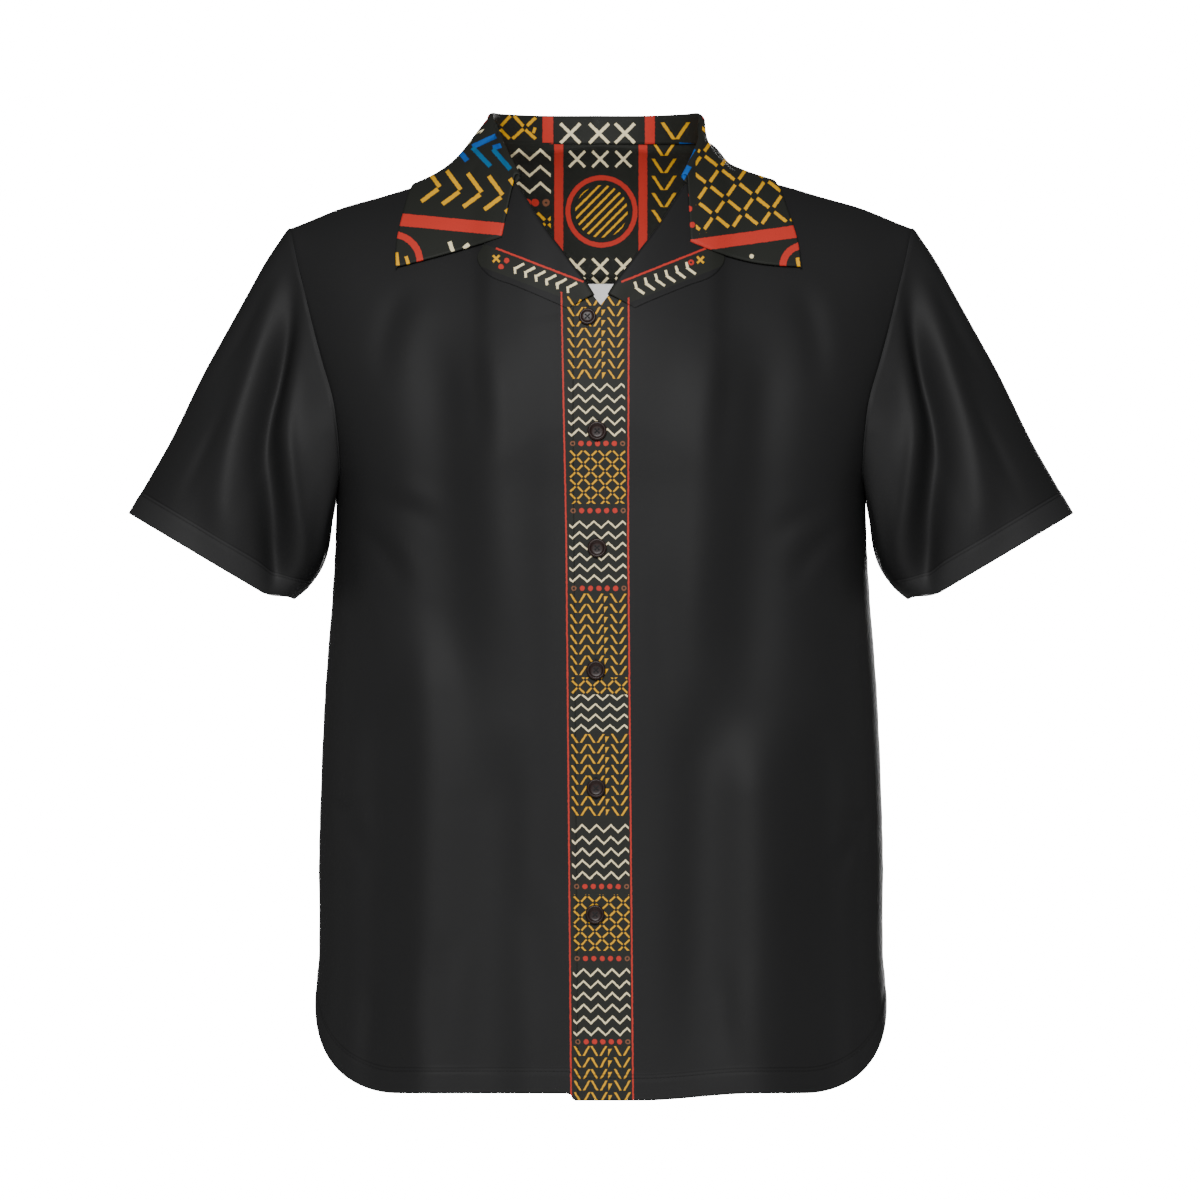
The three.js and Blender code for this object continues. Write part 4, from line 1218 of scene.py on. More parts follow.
def cloth_surface(finish, where):
    """The weave, slight slubs and pressing of the cloth, as a bump."""
    u = finish.node("ShaderNodeUVMap", {"uv_map": "Cloth"})["UV"]
    parts = finish.node("ShaderNodeSeparateXYZ", None, {0: u})
    warp, weft = [(parts[axis] * (math.tau / thread_pitch)).maths("SINE") for axis in "XY"]
    stretched = finish.node("ShaderNodeMapping", None, {"Vector": u, "Scale": (1, 0.12, 1)})["Vector"]
    slub = finish.noise(stretched, 900, 2.0, 0.6)
    pressed = finish.noise(where, 26, 3.0, 0.5)
    height = warp * weft * bump_shares["threads"] + slub * bump_shares["slub"]
    finish.bump(height + pressed * bump_shares["pressed"], 0.5, 0.5)


def patchy(finish, where, ground):
    """A ground colour that is a little uneven from place to place."""
    share = finish.noise(where, 7, 3.0)
    return finish.blend(tuple(c * 0.88 for c in ground), tuple(c * 1.12 for c in ground), share)


def hemmed(finish, base, ground):
    """The turned hem: its band lightened with painted light, its stitch line, and a painted shadow
    along its edge.
    """
    hem = finish.mark("hem")
    stitches = abs(hem - (hem_turned - hem_stitch["in"])).stroke(0.45, 0.4)
    # The line just past the turned edge is a painted shadow along the hem's edge. The other line is
    # the stitching.
    line = stitches + abs(hem - hem_turned - 0.6).stroke(0.5, 0.5)
    # Painted light on the turned band: a little on the body, and much stronger on the sleeves, where
    # the band mark is set.
    painted_hem_light = hem.below(hem_turned) * (finish.mark("band") * 0.55 + 0.04)
    base = finish.blend(base, tuple(c * 1.9 for c in ground), painted_hem_light)
    return finish.blend(base, tuple(c * 0.4 for c in ground), (line * 0.5).clamped())


def strongest(marks):
    """Several marks as one, which shows wherever any of them does."""
    out = marks[0]
    for mark in marks[1:]:
        out = out.most(mark)
    return out


class Print:
    """Motifs printed on a cloth whose places are x across and z up, in millimetres."""

    def __init__(self, finish):
        self.finish = finish
        self.where, (x, y, z) = finish.place()
        wander_x = finish.noise(self.where, 420, 1.0) - 0.5
        away = {0: self.where, 1: (3, 5, 7)}
        shifted = finish.node("ShaderNodeVectorMath", {"operation": "ADD"}, away)
        wander_z = finish.noise(shifted["Vector"], 420, 1.0) - 0.5
        self.y = y
        self.x = x + wander_x * (2 * ink_wander)
        self.z = z + wander_z * (2 * ink_wander)
        self.spot = finish.node("ShaderNodeCombineXYZ", None, {"X": self.x, "Y": self.z})["Vector"]
        streaks = finish.noise(self.where, 900, 2.0, 0.7)
        self.worn = ((streaks - 0.30) * 9).clamped() * 0.16 + 0.84
        self.inks = []

    def turned(self, centre, degrees):
        """Places in a frame moved to a centre and turned, as two numbers."""
        settings = {"vector_type": "TEXTURE"}
        rotation = (0, 0, math.radians(degrees))
        sockets = {"Vector": self.spot, "Location": (*centre, 0), "Rotation": rotation}
        moved = self.finish.node("ShaderNodeMapping", settings, sockets)["Vector"]
        parts = self.finish.node("ShaderNodeSeparateXYZ", None, {0: moved})
        return parts["X"], parts["Y"]

    def bar(self, start, end, half, taper=0.0):
        """A straight stroke between two places."""
        centre = (start[0] + end[0]) / 2, (start[1] + end[1]) / 2
        dx, dz = end[0] - start[0], end[1] - start[1]
        u, v = self.turned(centre, math.degrees(math.atan2(dz, dx)))
        width = half - u * taper if taper else half
        over = (abs(u) - math.hypot(dx, dz) / 2).most(abs(v) - width)
        return over.stroke(0.0, ink_soft)

    def bars(self, half, *strokes):
        return strongest([self.bar(start, end, half) for start, end in strokes])

    def uprights(self, *bars):
        """Upright bars, each given by its middle and half its width."""
        return strongest([abs(self.x - middle).stroke(half, ink_soft) for middle, half in bars])

    def ring(self, centre, radius, half):
        u, v = self.turned(centre, 0)
        return abs((u * u + v * v).maths("SQRT") - radius).stroke(half, ink_soft)

    def spots(self, radius, *centres):
        found = []
        for centre in centres:
            u, v = self.turned(centre, 0)
            found.append((u * u + v * v).maths("SQRT").stroke(radius, ink_soft))
        return strongest(found)

    def cross(self, centre, arm, half):
        """Two crossed strokes."""
        u, v = self.turned(centre, 45)
        off = abs(u).least(abs(v))
        reach = abs(u).most(abs(v)) - arm
        return (off - half).most(reach).stroke(0.0, ink_soft)

    def crosses(self, centres, arm, half):
        return strongest([self.cross(centre, arm, half) for centre in centres])

    def zigzag(self, x, peak, period, off, half_height, half):
        """A zigzag that peaks at an x. Off is the height above its middle line."""
        from_peak = abs((x - (peak - period / 2)).cell(period))
        wave = half_height - from_peak * (4 * half_height / period)
        slope = math.hypot(1, 4 * half_height / period)
        return (abs(off - wave) * (1 / slope)).stroke(half, ink_soft)

    def vee(self, x, height, half_width, tall, half, gap=0.5):
        """A V of two strokes that don't quite meet. Height is measured up from its point."""
        slope = half_width / tall
        off = abs(abs(x) - gap - height * slope) * (1 / math.hypot(1, slope)) - half
        ends = abs(height - tall / 2) - tall / 2
        return off.most(ends).stroke(0.0, ink_soft)

    def lattice(self, p, q, pitch_p, pitch_q, half, gap):
        """Two families of dashed lines, which break where they cross."""
        off_p, off_q = abs(p.cell(1)) * pitch_p, abs(q.cell(1)) * pitch_q
        first = (off_p - half).most(gap - off_q)
        second = (off_q - half).most(gap - off_p)
        return first.least(second).stroke(0.0, ink_soft)

    def add(self, ink, mark, within=None):
        mark = mark if within is None else mark * within
        self.inks.append((ink, mark))

    def over(self, base):
        """The ground with every ink printed on it."""
        for ink, mark in self.inks:
            base = self.finish.blend(base, ink, mark.clamped() * self.worn)
        return base


# The band down the middle of the fronts: its centre drifts as it goes down
band_half = 24.1
band_widens = {"z": -300, "rate": 0.011}
band_line_half = 0.6
band_top = {"z": -105, "centre": -4.7}
band_drift = -0.0088
band_shown = {"middle": 0.4, "half": 22.1}
vee_columns = (-15.5, -2.2, 15.9)
vee_size = {"half_width": 4.4, "tall": 6.9, "half": 0.66, "gap": 1.35}
vee_pitch = 8.2
wedge_column = 5.0
wedge_size = {"slope": 0.3, "half_tall": 2.4}
zigzag_peak = -13.7
zigzag_period = 11.2
zigzag_pitch = 8.75
zigzag_size = {"half_height": 2.6, "half": 0.58}
dot_first = -18.5
dot_pitch = 6.5
dot_radius = 2.0
dot_ends = {"middle": 1, "half": 16.2}
dot_outline = {"radius": 1.5, "half": 0.5}
lattice_pitch = 11.2
lattice_from = (-15.8, -235.6)
lattice_size = {"half": 0.62, "gap": 1.25}

# Rows of each motif down the band: the group's top and foot, the height of its lowest row, its pitch
vee_groups = (
    (-100, -175.2, -174.7, 8.15),
    (-341.5, -405.9, -405.4, 8.05),
    (-451.5, -515.5, -515, 8.1),
    (-694.5, -745, -738, 9.0),
)
zigzag_groups = (
    (-177.5, -221, -216.5, 8.75),
    (-283.5, -334.6, -330.3, 8.4),
    (-420.8, -451.3, -446.8, 8.13),
    (-520, -566.5, -561.6, 9.15),
    (-632, -688, -683.3, 9.2),
)
lattice_groups = ((-230.7, -272.1), (-407.4, -420.2), (-576.4, -620.1))
dot_rows = (-225.2, -277.5, -338, -570.2, -626.3, -691.1)


def total(parts):
    out = parts[0]
    for part in parts[1:]:
        out = out + part
    return out


def grouped(z, groups):
    """Where each group is printed, and how many rows a height lies above its lowest one."""
    here, rows = [], []
    for top, foot, lowest, pitch in groups:
        mask = z.within(foot, top)
        here.append(mask)
        rows.append(((z - lowest) * (1 / pitch)) * mask)
    return total(here), total(rows)


def band_places(art):
    """The distance from the band's middle, the band's half width, and where its motifs show."""
    a = art.x - band_top["centre"] - (art.z - band_top["z"]) * band_drift
    half = (art.z - band_widens["z"]).most(0) * band_widens["rate"] + band_half
    shown = abs(a - band_shown["middle"]).stroke(band_shown["half"], ink_soft)
    return a, half, shown


def band_vees(art, a, groups):
    here, rows = grouped(art.z, groups)
    up = (rows - rows.floor()) * vee_pitch
    nearest = abs(a - vee_columns[0]).least(abs(a - vee_columns[1])).least(abs(a - vee_columns[2]))
    vees = art.vee(nearest, up, *vee_size.values())
    lean = up * wedge_size["slope"]
    off = abs(a - wedge_column - lean) - lean
    ends = abs(up - wedge_size["half_tall"]) - wedge_size["half_tall"]
    return vees.most(off.most(ends).stroke(0.0, ink_soft)) * here


def banded_cloth():
    """The fronts' cloth, with its printed band between two fine red lines."""
    finish = Finish("Printed front cloth", 0.58, specular=cloth_specular)
    art = Print(finish)
    z = art.z
    a, half, shown = band_places(art)
    art.add(yellow, band_vees(art, a, vee_groups), shown)

    here, rows = grouped(z, zigzag_groups)
    rows = rows + 0.5
    off = ((rows - rows.floor()) - 0.5) * zigzag_pitch
    zigzags = art.zigzag(a, zigzag_peak, zigzag_period, off, *zigzag_size.values())
    art.add(cream, zigzags * here, shown)

    off = abs(z - dot_rows[0])
    for row in dot_rows[1:]:
        off = off.least(abs(z - row))
    across = (a - dot_first + dot_pitch / 2).cell(dot_pitch)
    radial = (across * across + off * off).maths("SQRT")
    ends = abs(a - dot_ends["middle"]).above(dot_ends["half"])
    art.add(red, radial.stroke(dot_radius, ink_soft), shown * (1 - ends))
    outline = abs(radial - dot_outline["radius"]).stroke(dot_outline["half"], ink_soft)
    art.add(brown_ink, outline, shown * ends)

    along_a, along_z = a - lattice_from[0], z - lattice_from[1]
    p = (along_a + along_z) * (1 / lattice_pitch) + 0.5
    q = (along_a - along_z) * (1 / lattice_pitch) + 0.5
    here = total([z.within(foot, top) for top, foot in lattice_groups])
    step = lattice_pitch / math.sqrt(2)
    art.add(yellow, art.lattice(p, q, step, step, *lattice_size.values()) * here, shown)
    art.add(red, abs(abs(a) - half).stroke(band_line_half, ink_soft))

    inside = (half - abs(a)).above(0)
    base = finish.blend(patchy(finish, art.where, charcoal), print_ground, inside)
    finish.colour(hemmed(finish, art.over(base), charcoal))
    cloth_surface(finish, art.where)
    return finish.material


# The border along the foot of each revere, seen from the front, in millimetres
border = {
    -1: {
        "line": ((-82, -72.8), (-13.6, -99.2)),
        "first": (-66.7, -88.5),
        "step": (8.25, -3.0),
        "strokes": (((0, 0), (6.8, 3.6)), ((-0.6, 0.8), (-0.2, -4.2))),
        "cross": (-81.7, -80.9),
        "dots": ((-73.6, -82.4), (-78.0, -87.2)),
        "ring": None,
    },
    1: {
        "line": ((82, -72.8), (15.9, -99.2)),
        "first": (67.5, -88.3),
        "step": (-8.0, -3.1),
        "strokes": (((0, 0.6), (-1.2, 4.6)), ((-0.8, 0.4), (6.2, -4.6))),
        "cross": (77.5, -81.9),
        "dots": (),
        "ring": (70.2, -83.9),
    },
}
border_size = {"line": 0.72, "stroke": 0.92, "cross": (3.6, 0.8), "dot": 2.1, "ring": (1.6, 0.7)}
border_marks = 6
border_width = 17.5
border_keeps_clear = 13.5


def revere_cloth(hand):
    """A revere's cloth, plain above and bordered along its foot."""
    side = "left" if hand > 0 else "right"
    finish = Finish(f"Revere cloth {side}", 0.58, specular=cloth_specular)
    art = Print(finish)
    rows = border[hand]
    (x0, z0), (x1, z1) = rows["line"]
    length = math.hypot(x1 - x0, z1 - z0)
    across, down = (z0 - z1) * hand * -1 / length, abs(x1 - x0) / length
    below = ((art.x - x0) * across + (art.z - z0) * down) * -1
    art.add(red, art.bar(*rows["line"], border_size["line"]))
    marks = []
    for k in range(border_marks):
        x, z = rows["first"][0] + k * rows["step"][0], rows["first"][1] + k * rows["step"][1]
        for start, end in rows["strokes"]:
            marks.append(((x + start[0], z + start[1]), (x + end[0], z + end[1])))
    art.add(cream, art.bars(border_size["stroke"], *marks))
    art.add(yellow, art.cross(rows["cross"], *border_size["cross"]))
    if rows["dots"]:
        art.add(red, art.spots(border_size["dot"], *rows["dots"]))
    if rows["ring"]:
        art.add(red, art.ring(rows["ring"], *border_size["ring"]))
    a, half, shown = band_places(art)
    on_band = (below - border_keeps_clear).above(0)
    art.add(yellow, band_vees(art, a, vee_groups[:1]), shown * on_band)
    art.add(red, abs(abs(a) - half).stroke(band_line_half, ink_soft), on_band)
    inside = (border_width - below).above(0) * below.above(0)
    inside = inside.most(on_band * (half - abs(a)).above(0))
    base = finish.blend(patchy(finish, art.where, charcoal), print_ground, inside)
    finish.colour(art.over(base))
    cloth_surface(finish, art.where)
    return finish.material


# The inner yoke's print, seen from the front, in millimetres
yoke_middle = 29
yoke_left = {"from": -76, "rows_to": -39.3, "to": -37.5}
yoke_right = 37
yoke_bars = ((-33.1, 3.5), (32.8, 3.4))
yoke_zigzag_rows = {"lowest": 1.4, "pitch": 12.8, "foot": -31}
yoke_zigzag = {"peak": -64.2, "period": 16.7}
yoke_zigzag_size = {"half_height": 3.6, "half": 0.95}
yoke_dots = ((-57.7, -35.9), (-51.6, -35.9))
yoke_dot_radius = 3.0
yoke_small_ring = {"centre": (-43, -35.9), "radius": 1.9, "half": 1.0}
yoke_lattice = {"cell": 17, "top": -42}
yoke_lattice_size = {"pitch_p": 12, "pitch_q": 12, "half": 1.1, "gap": 2.0}
yoke_vees = {"x": 49.3, "lowest": -52.7, "pitch": 13.3, "foot": -54}
yoke_vee_size = {"half_width": 7.2, "tall": 11.0, "half": 1.05, "gap": 1.3}
yoke_crosses = {"x": (-18.7, -0.6, 17.5), "z": (-1.9, -85.8, -100.6)}
yoke_cross_size = {"arm": 8.6, "half": 1.0}
yoke_ring = {"centre": (0.4, -42.7), "radius": 26.3, "half": 1.9}
yoke_disc = {"radius": 20.5, "turned": 45, "off": 2.4, "pitch": 5.1, "half": 0.8}


def yoke_cloth():
    """The inner yoke's print: a ring of slanting strokes between red bars, with rows beside them."""
    finish = Finish("Printed yoke cloth", 0.6, specular=cloth_specular)
    art = Print(finish)
    x, z = art.x, art.z
    middle = abs(x).below(yoke_middle)
    left, right = x.below(yoke_left["to"]), x.above(yoke_right)
    before_bar = x.below(yoke_left["rows_to"])

    rows = ((z - yoke_zigzag_rows["lowest"]) * (1 / yoke_zigzag_rows["pitch"])).least(0.49)
    off = (rows + 0.5 - (rows + 0.5).floor() - 0.5) * yoke_zigzag_rows["pitch"]
    zigzags = art.zigzag(x, *yoke_zigzag.values(), off, *yoke_zigzag_size.values())
    zigzags = zigzags * left * x.above(yoke_left["from"]) * before_bar
    art.add(cream, zigzags, z.above(yoke_zigzag_rows["foot"]))
    art.add(red, art.spots(yoke_dot_radius, *yoke_dots))
    art.add(brown_ink, art.ring(*yoke_small_ring.values()))
    p, q = (x + z) * (1 / yoke_lattice["cell"]), (x - z) * (1 / yoke_lattice["cell"])
    lattice = art.lattice(p, q, *yoke_lattice_size.values())
    art.add(yellow, lattice * left * z.below(yoke_lattice["top"]) * before_bar)

    up = (z - yoke_vees["lowest"]) * (1 / yoke_vees["pitch"])
    up = (up - up.floor()) * yoke_vees["pitch"]
    vees = art.vee(x - yoke_vees["x"], up, *yoke_vee_size.values())
    art.add(yellow, vees * right * z.above(yoke_vees["foot"]))
    art.add(red, art.uprights(*yoke_bars))

    centres = [(cross_x, cross_z) for cross_z in yoke_crosses["z"] for cross_x in yoke_crosses["x"]]
    art.add(cream, art.crosses(centres, *yoke_cross_size.values()))
    art.add(red, art.ring(*yoke_ring.values()))
    u, v = art.turned(yoke_ring["centre"], yoke_disc["turned"])
    disc = (u * u + v * v).maths("SQRT").stroke(yoke_disc["radius"], ink_soft)
    lines = abs((v + yoke_disc["off"]).cell(yoke_disc["pitch"])).stroke(yoke_disc["half"], ink_soft)
    art.add(yellow, lines * disc, middle)
    finish.colour(art.over(patchy(finish, art.where, print_ground)))
    cloth_surface(finish, art.where)
    return finish.material


# The collar's prints, seen from the front, in millimetres. The leaf at -1 is on the photo's left.
leaf_bars = {-1: ((-114.3, -54.3), -5.6), 1: ((111.0, -65.3), 8.0)}
leaf_bar_half = 4.9
leaf_rings = {-1: ((-163, -83.5), 21.7, 2.6), 1: ((158.6, -87.2), 16.8, 2.7)}
leaf_ring_top = {-1: -57, 1: -62}
leaf_ticks = {
    -1: (((-159.6, -76), (-158.4, -86)), ((-152.2, -79), (-150, -86))),
    1: (((153.2, -80), (154.2, -88)),),
}
tick_half = 1.3
left_chevrons = {"first": (-125.6, -25.0), "step": (16.4, -2.2), "count": 5}
chevron_strokes = (((-11.2, 15.4), (-0.4, 0.6)), ((-14.6, -10.9), (-1.6, -1.2)))
blue_strokes = (
    ((-100.4, 7.0), (-82.2, 15.4)),
    ((-84.4, 5.9), (-73.0, 9.4)),
    ((-113, 6.5), (-104.6, -4.0)),
)
teal_strokes = (
    ((-100.4, 6.4), (-86.4, -8.6)),
    ((-84.4, 5.0), (-70.8, -11)),
)
cream_strokes = (((-118.3, -67.5), (-115.6, -75)), ((-107, -73), (-103, -69.4)))
left_half = {"chevrons": 1.6, "blue": 2.0, "teal": 1.8, "cream": 1.5}
right_blue_strokes = (((61, 9), (72.2, 7.8)), ((64, -7.4), (72.2, 5.5)), ((62.8, -19), (69, -8.5)))
right_cream_spots = ((117.4, -79.0),)
right_red_spots = ((66.2, -31.2), (68.8, -41.9), (71.1, -54.5))
right_half = {"cream": 1.7, "red": 2.3, "blue": 2.0}
right_lattice_p = (0.04764, -0.03273, -3.237)
right_lattice_q = (-0.03964, -0.0491, 3.694)
right_lattice_size = {"pitch_p": 17.3, "pitch_q": 15.85, "half": 1.25, "gap": 2.7}
right_lattice_starts = {"x": 74, "above_bar": 8.5}
stand_crosses = ((-24.0, 18.2), (-1.6, 18.2), (18.7, 18.2))
stand_cross_size = {"arm": 10.8, "half": 1.2}
stand_bars = ((-41.6, 4.2), (38.2, 3.9))
stand_vee = {"x": 58.2, "foot": 13.4}
stand_vee_size = {"half_width": 8.8, "tall": 13.0, "half": 1.25, "gap": 1.2}
stand_stroke_half = 1.2
stand_strokes = (
    ((-70.9, 31.6), (-78.1, 23.8)),
    ((-67.9, 31.6), (-60.8, 23.8)),
    ((-78.6, 20.8), (-71.5, 13.7)),
    ((-69.1, 13.7), (-60.8, 21.4)),
    ((-51.2, 30.4), (-57.8, 24.0)),
    ((-51.6, 22.6), (-53.0, 18.4)),
    ((-59.0, 20.8), (-51.2, 13.7)),
)
behind_repeat = 132
behind_starts = 6
behind_zigzag = {"peak": 0, "period": 15}
behind_zigzag_size = {"half_height": 3.4, "half": 1.15}
behind_zigzag_rows = {"pitch": 13, "half": 30}
behind_bar = {"at": 38, "half": 3.9}
behind_vees = {"at": 54, "pitch": 14}
behind_vee_size = {"half_width": 8, "tall": 10, "half": 1.3, "gap": 0.7}
leaf_ends_behind = 4


def collar_cloth():
    """The collar's print: each leaf's own rows in front, and a repeat of them round the back."""
    finish = Finish("Printed collar cloth", 0.58, specular=cloth_specular)
    art = Print(finish)
    x, z = art.x, art.z
    on_fall = finish.mark("fall").above(0.5)
    on_stand = 1 - on_fall
    in_front = art.y.below(leaf_ends_behind)
    left = on_fall * in_front * x.below(0)
    right = on_fall * in_front * x.above(0)
    behind = on_fall * (1 - in_front)

    strokes = []
    for k in range(left_chevrons["count"]):
        tip_x, tip_z = [left_chevrons["first"][i] + k * left_chevrons["step"][i] for i in (0, 1)]
        for start, end in chevron_strokes:
            strokes.append(((tip_x + start[0], tip_z + start[1]), (tip_x + end[0], tip_z + end[1])))
    art.add(yellow, art.bars(left_half["chevrons"], *strokes), left)
    art.add(blue, art.bars(left_half["blue"], *blue_strokes), left)
    art.add(teal, art.bars(left_half["teal"], *teal_strokes), left)
    p, q = [x * a + z * b + c for a, b, c in (right_lattice_p, right_lattice_q)]
    lattice = art.lattice(p, q, *right_lattice_size.values())
    for hand, leaf in ((-1, left), (1, right)):
        u, v = art.turned(*leaf_bars[hand])
        if hand > 0:
            lattice = lattice * v.above(right_lattice_starts["above_bar"])
            art.add(yellow, lattice, right * x.above(right_lattice_starts["x"]))
        art.add(red, abs(v).stroke(leaf_bar_half, ink_soft), leaf)
        art.add(red, art.ring(*leaf_rings[hand]), leaf * z.below(leaf_ring_top[hand]))
        art.add(yellow, art.bars(tick_half, *leaf_ticks[hand]), leaf)
    art.add(cream, art.bars(left_half["cream"], *cream_strokes), left)
    art.add(cream, art.spots(right_half["cream"], *right_cream_spots), right)
    art.add(red, art.spots(right_half["red"], *right_red_spots), right)
    art.add(blue, art.bars(right_half["blue"], *right_blue_strokes), right.most(on_stand))

    art.add(yellow, art.bars(stand_stroke_half, *stand_strokes), on_stand)
    art.add(red, art.uprights(*stand_bars), on_stand)
    art.add(cream, art.crosses(stand_crosses, *stand_cross_size.values()), on_stand)
    up = z - stand_vee["foot"]
    art.add(yellow, art.vee(abs(x - stand_vee["x"]), up, *stand_vee_size.values()), on_stand)

    cell = finish.mark("round").cell(behind_repeat)
    down = finish.mark("down")
    shown = down.above(behind_starts)
    rows = (down * (1 / behind_zigzag_rows["pitch"]) + 0.5).floor()
    off = down - rows * behind_zigzag_rows["pitch"]
    zigzags = art.zigzag(cell, *behind_zigzag.values(), off, *behind_zigzag_size.values())
    art.add(cream, zigzags * abs(cell).below(behind_zigzag_rows["half"]) * shown, behind)
    rows = down * (1 / behind_vees["pitch"])
    up = (1 - (rows - rows.floor())) * behind_vees["pitch"]
    vees = art.vee(abs(abs(cell) - behind_vees["at"]), up, *behind_vee_size.values())
    art.add(yellow, vees * shown, behind)
    art.add(red, abs(abs(cell) - behind_bar["at"]).stroke(behind_bar["half"], ink_soft), behind)
    finish.colour(art.over(patchy(finish, art.where, print_ground)))
    cloth_surface(finish, art.where)
    return finish.material


def plain_cloth():
    finish = Finish("Charcoal cloth", 0.58, specular=cloth_specular)
    where, _ = finish.place()
    finish.colour(hemmed(finish, patchy(finish, where, charcoal), charcoal))
    cloth_surface(finish, where)
    return finish.material


def reverse_cloth():
    """The pale, unprinted side of the cloth."""
    finish = Finish("Pale reverse of the cloth", 0.8, specular=0.2)
    where, _ = finish.place()
    finish.colour(patchy(finish, where, reverse_colour))
    cloth_surface(finish, where)
    return finish.material


def button_finish():
    """Dark polished brown with a faint cloudiness."""
    finish = Finish("Button", 0.42, specular=0.22)
    where, _ = finish.place()
    cloud = finish.noise(where, 240, 3.0, 0.6)
    dark, light = [tuple(c * times for c in button_colour) for times in (0.6, 1.7)]
    finish.colour(finish.blend(dark, light, cloud))
    finish.shader.inputs["Coat Weight"].default_value = 0.08
    finish.shader.inputs["Coat Roughness"].default_value = 0.2
    return finish.material


def thread_finish():
    finish = Finish("Dark thread", 0.7, specular=0.2)
    where, _ = finish.place()
    share = finish.noise(where, 1500, 2.0)
    finish.colour(finish.blend((0.008, 0.008, 0.008), (0.024, 0.024, 0.025), share))
    return finish.material


charcoal_cloth = plain_cloth()
front_cloth = banded_cloth()
revere_cloths = {hand: revere_cloth(hand) for hand in (1, -1)}
printed_yoke = yoke_cloth()
printed_collar = collar_cloth()
pale_reverse = reverse_cloth()
button_plastic = button_finish()
dark_thread = thread_finish()

# The pieces

hem_stitches = []
stitch_height = hem_turned - hem_stitch["in"]


def line_on(points, normals, distance):
    """The line over a grid's columns at a distance up from its first row, and its normals."""
    up = lengths_along(points, 0)
    line, outs = [], []
    for j in range(points.shape[1]):
        for values, found in ((points, line), (normals, outs)):
            found.append([np.interp(distance, up[:, j], values[:, j, i]) for i in range(3)])
    return np.array(line), np.array(outs)


def keep(piece, node):
    """Fastens a piece to the shirt's body, and hides the solid it replaces."""
    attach(piece, "root")
    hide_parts(node)


for hand, node in ((1, "front_left"), (-1, "front_right")):
    points, normals = front_panel(hand)
    marks = seam_marks(points, "first", ["last"], ["last"])
    points = sewn(points, normals, marks)
    hem_stitches.append(line_on(points, normals, stitch_height))
    piece = cloth_mesh(f"shirt_{node}", points, normals, marks)
    give_thickness(piece, cloth_thick, front_cloth, pale_reverse)
    keep(piece, node)

points, normals = back_panel()
marks = seam_marks(points, "first", ["first", "last"], ["last"])
points = sewn(points, normals, marks)
hem_stitches.append(line_on(points, normals, stitch_height))
points, normals, marks = lapped(points, normals, marks)
piece = cloth_mesh("shirt_back", points, normals, marks)
give_thickness(piece, cloth_thick, charcoal_cloth, pale_reverse)
keep(piece, "back")

sleeve_points, sleeve_normals, sleeve_under = sleeve_panel()
sleeve_marks = seam_marks(sleeve_points, "last", [], ["first"])
# The band mark gives the sleeves' turned hems a stronger painted light.
sleeve_marks["band"] = np.ones_like(sleeve_marks["hem"])
sleeve_points = sewn(sleeve_points, sleeve_normals, sleeve_marks)
sleeve_points, sleeve_normals, sleeve_marks = tucked(
    sleeve_points, sleeve_normals, sleeve_marks, sleeve_under
)
cuff_line, cuff_outs = line_on(sleeve_points[::-1], sleeve_normals[::-1], stitch_height)
cuff_line = np.concatenate([cuff_line, cuff_line[:1]])
cuff_outs = np.concatenate([cuff_outs, cuff_outs[:1]])
for hand, node in ((1, "sleeve_left"), (-1, "sleeve_right")):
    handed = np.array([hand, 1, 1])
    hem_stitches.append((cuff_line * handed, cuff_outs * handed))
    piece = cloth_mesh(
        f"shirt_{node}", sleeve_points * handed, sleeve_normals * handed, sleeve_marks, tube=True
    )
    give_thickness(piece, cloth_thick, charcoal_cloth, pale_reverse)
    keep(piece, node)

points, inwards = inner_yoke()
piece = cloth_mesh("shirt_yoke_inner", points, inwards)
give_thickness(piece, yoke_thick, printed_yoke, printed_yoke)
keep(piece, "yoke_inner")

for hand, node in ((1, "facing_left"), (-1, "facing_right")):
    points = facing_panel(hand)
    outwards = np.zeros_like(points)
    outwards[:, len(facing_hidden) + facing_roll_columns:, 1] = -1
    marks = {"hem": np.full(points.shape[:2], far_away)}
    piece = cloth_mesh(f"shirt_{node}", points, outwards, marks)
    give_thickness(piece, facing_thick, revere_cloths[hand], revere_cloths[hand])
    keep(piece, node)

points = collar_panel()
outwards = np.zeros_like(points)
fall_points = points[:, collar_stand_columns:]
outwards[:, collar_stand_columns:] = fall_points * np.array([1, 1, 0]) + np.array([0, 0, 30])
edge = lengths_along(points[:, -1:], 0)
across = lengths_along(points, 1)
on_fall = np.arange(points.shape[1]) >= collar_fall_starts
marks = {
    "fall": np.broadcast_to(on_fall, points.shape[:2]) * 1.0,
    "round": np.broadcast_to(edge - edge[-1:] / 2, points.shape[:2]) + 0.0,
    "down": np.maximum(0, across - across[:, collar_fall_starts][:, None]),
}
piece = cloth_mesh("shirt_collar", points, outwards, marks)
give_thickness(piece, collar_thick, printed_collar, printed_collar)
keep(piece, "collar")


def solid_of(name, shape, *materials):
    """A finished mesh from a bmesh in millimetres, as a piece in the scene with its finishes."""
    bmesh.ops.scale(shape, verts=shape.verts, vec=(MM, MM, MM))
    bmesh.ops.recalc_face_normals(shape, faces=shape.faces)
    mesh = bpy.data.meshes.new(name)
    shape.to_mesh(mesh)
    shape.free()
    for material in materials:
        mesh.materials.append(material)
    piece = bpy.data.objects.new(name, mesh)
    bpy.context.scene.collection.objects.link(piece)
    return piece


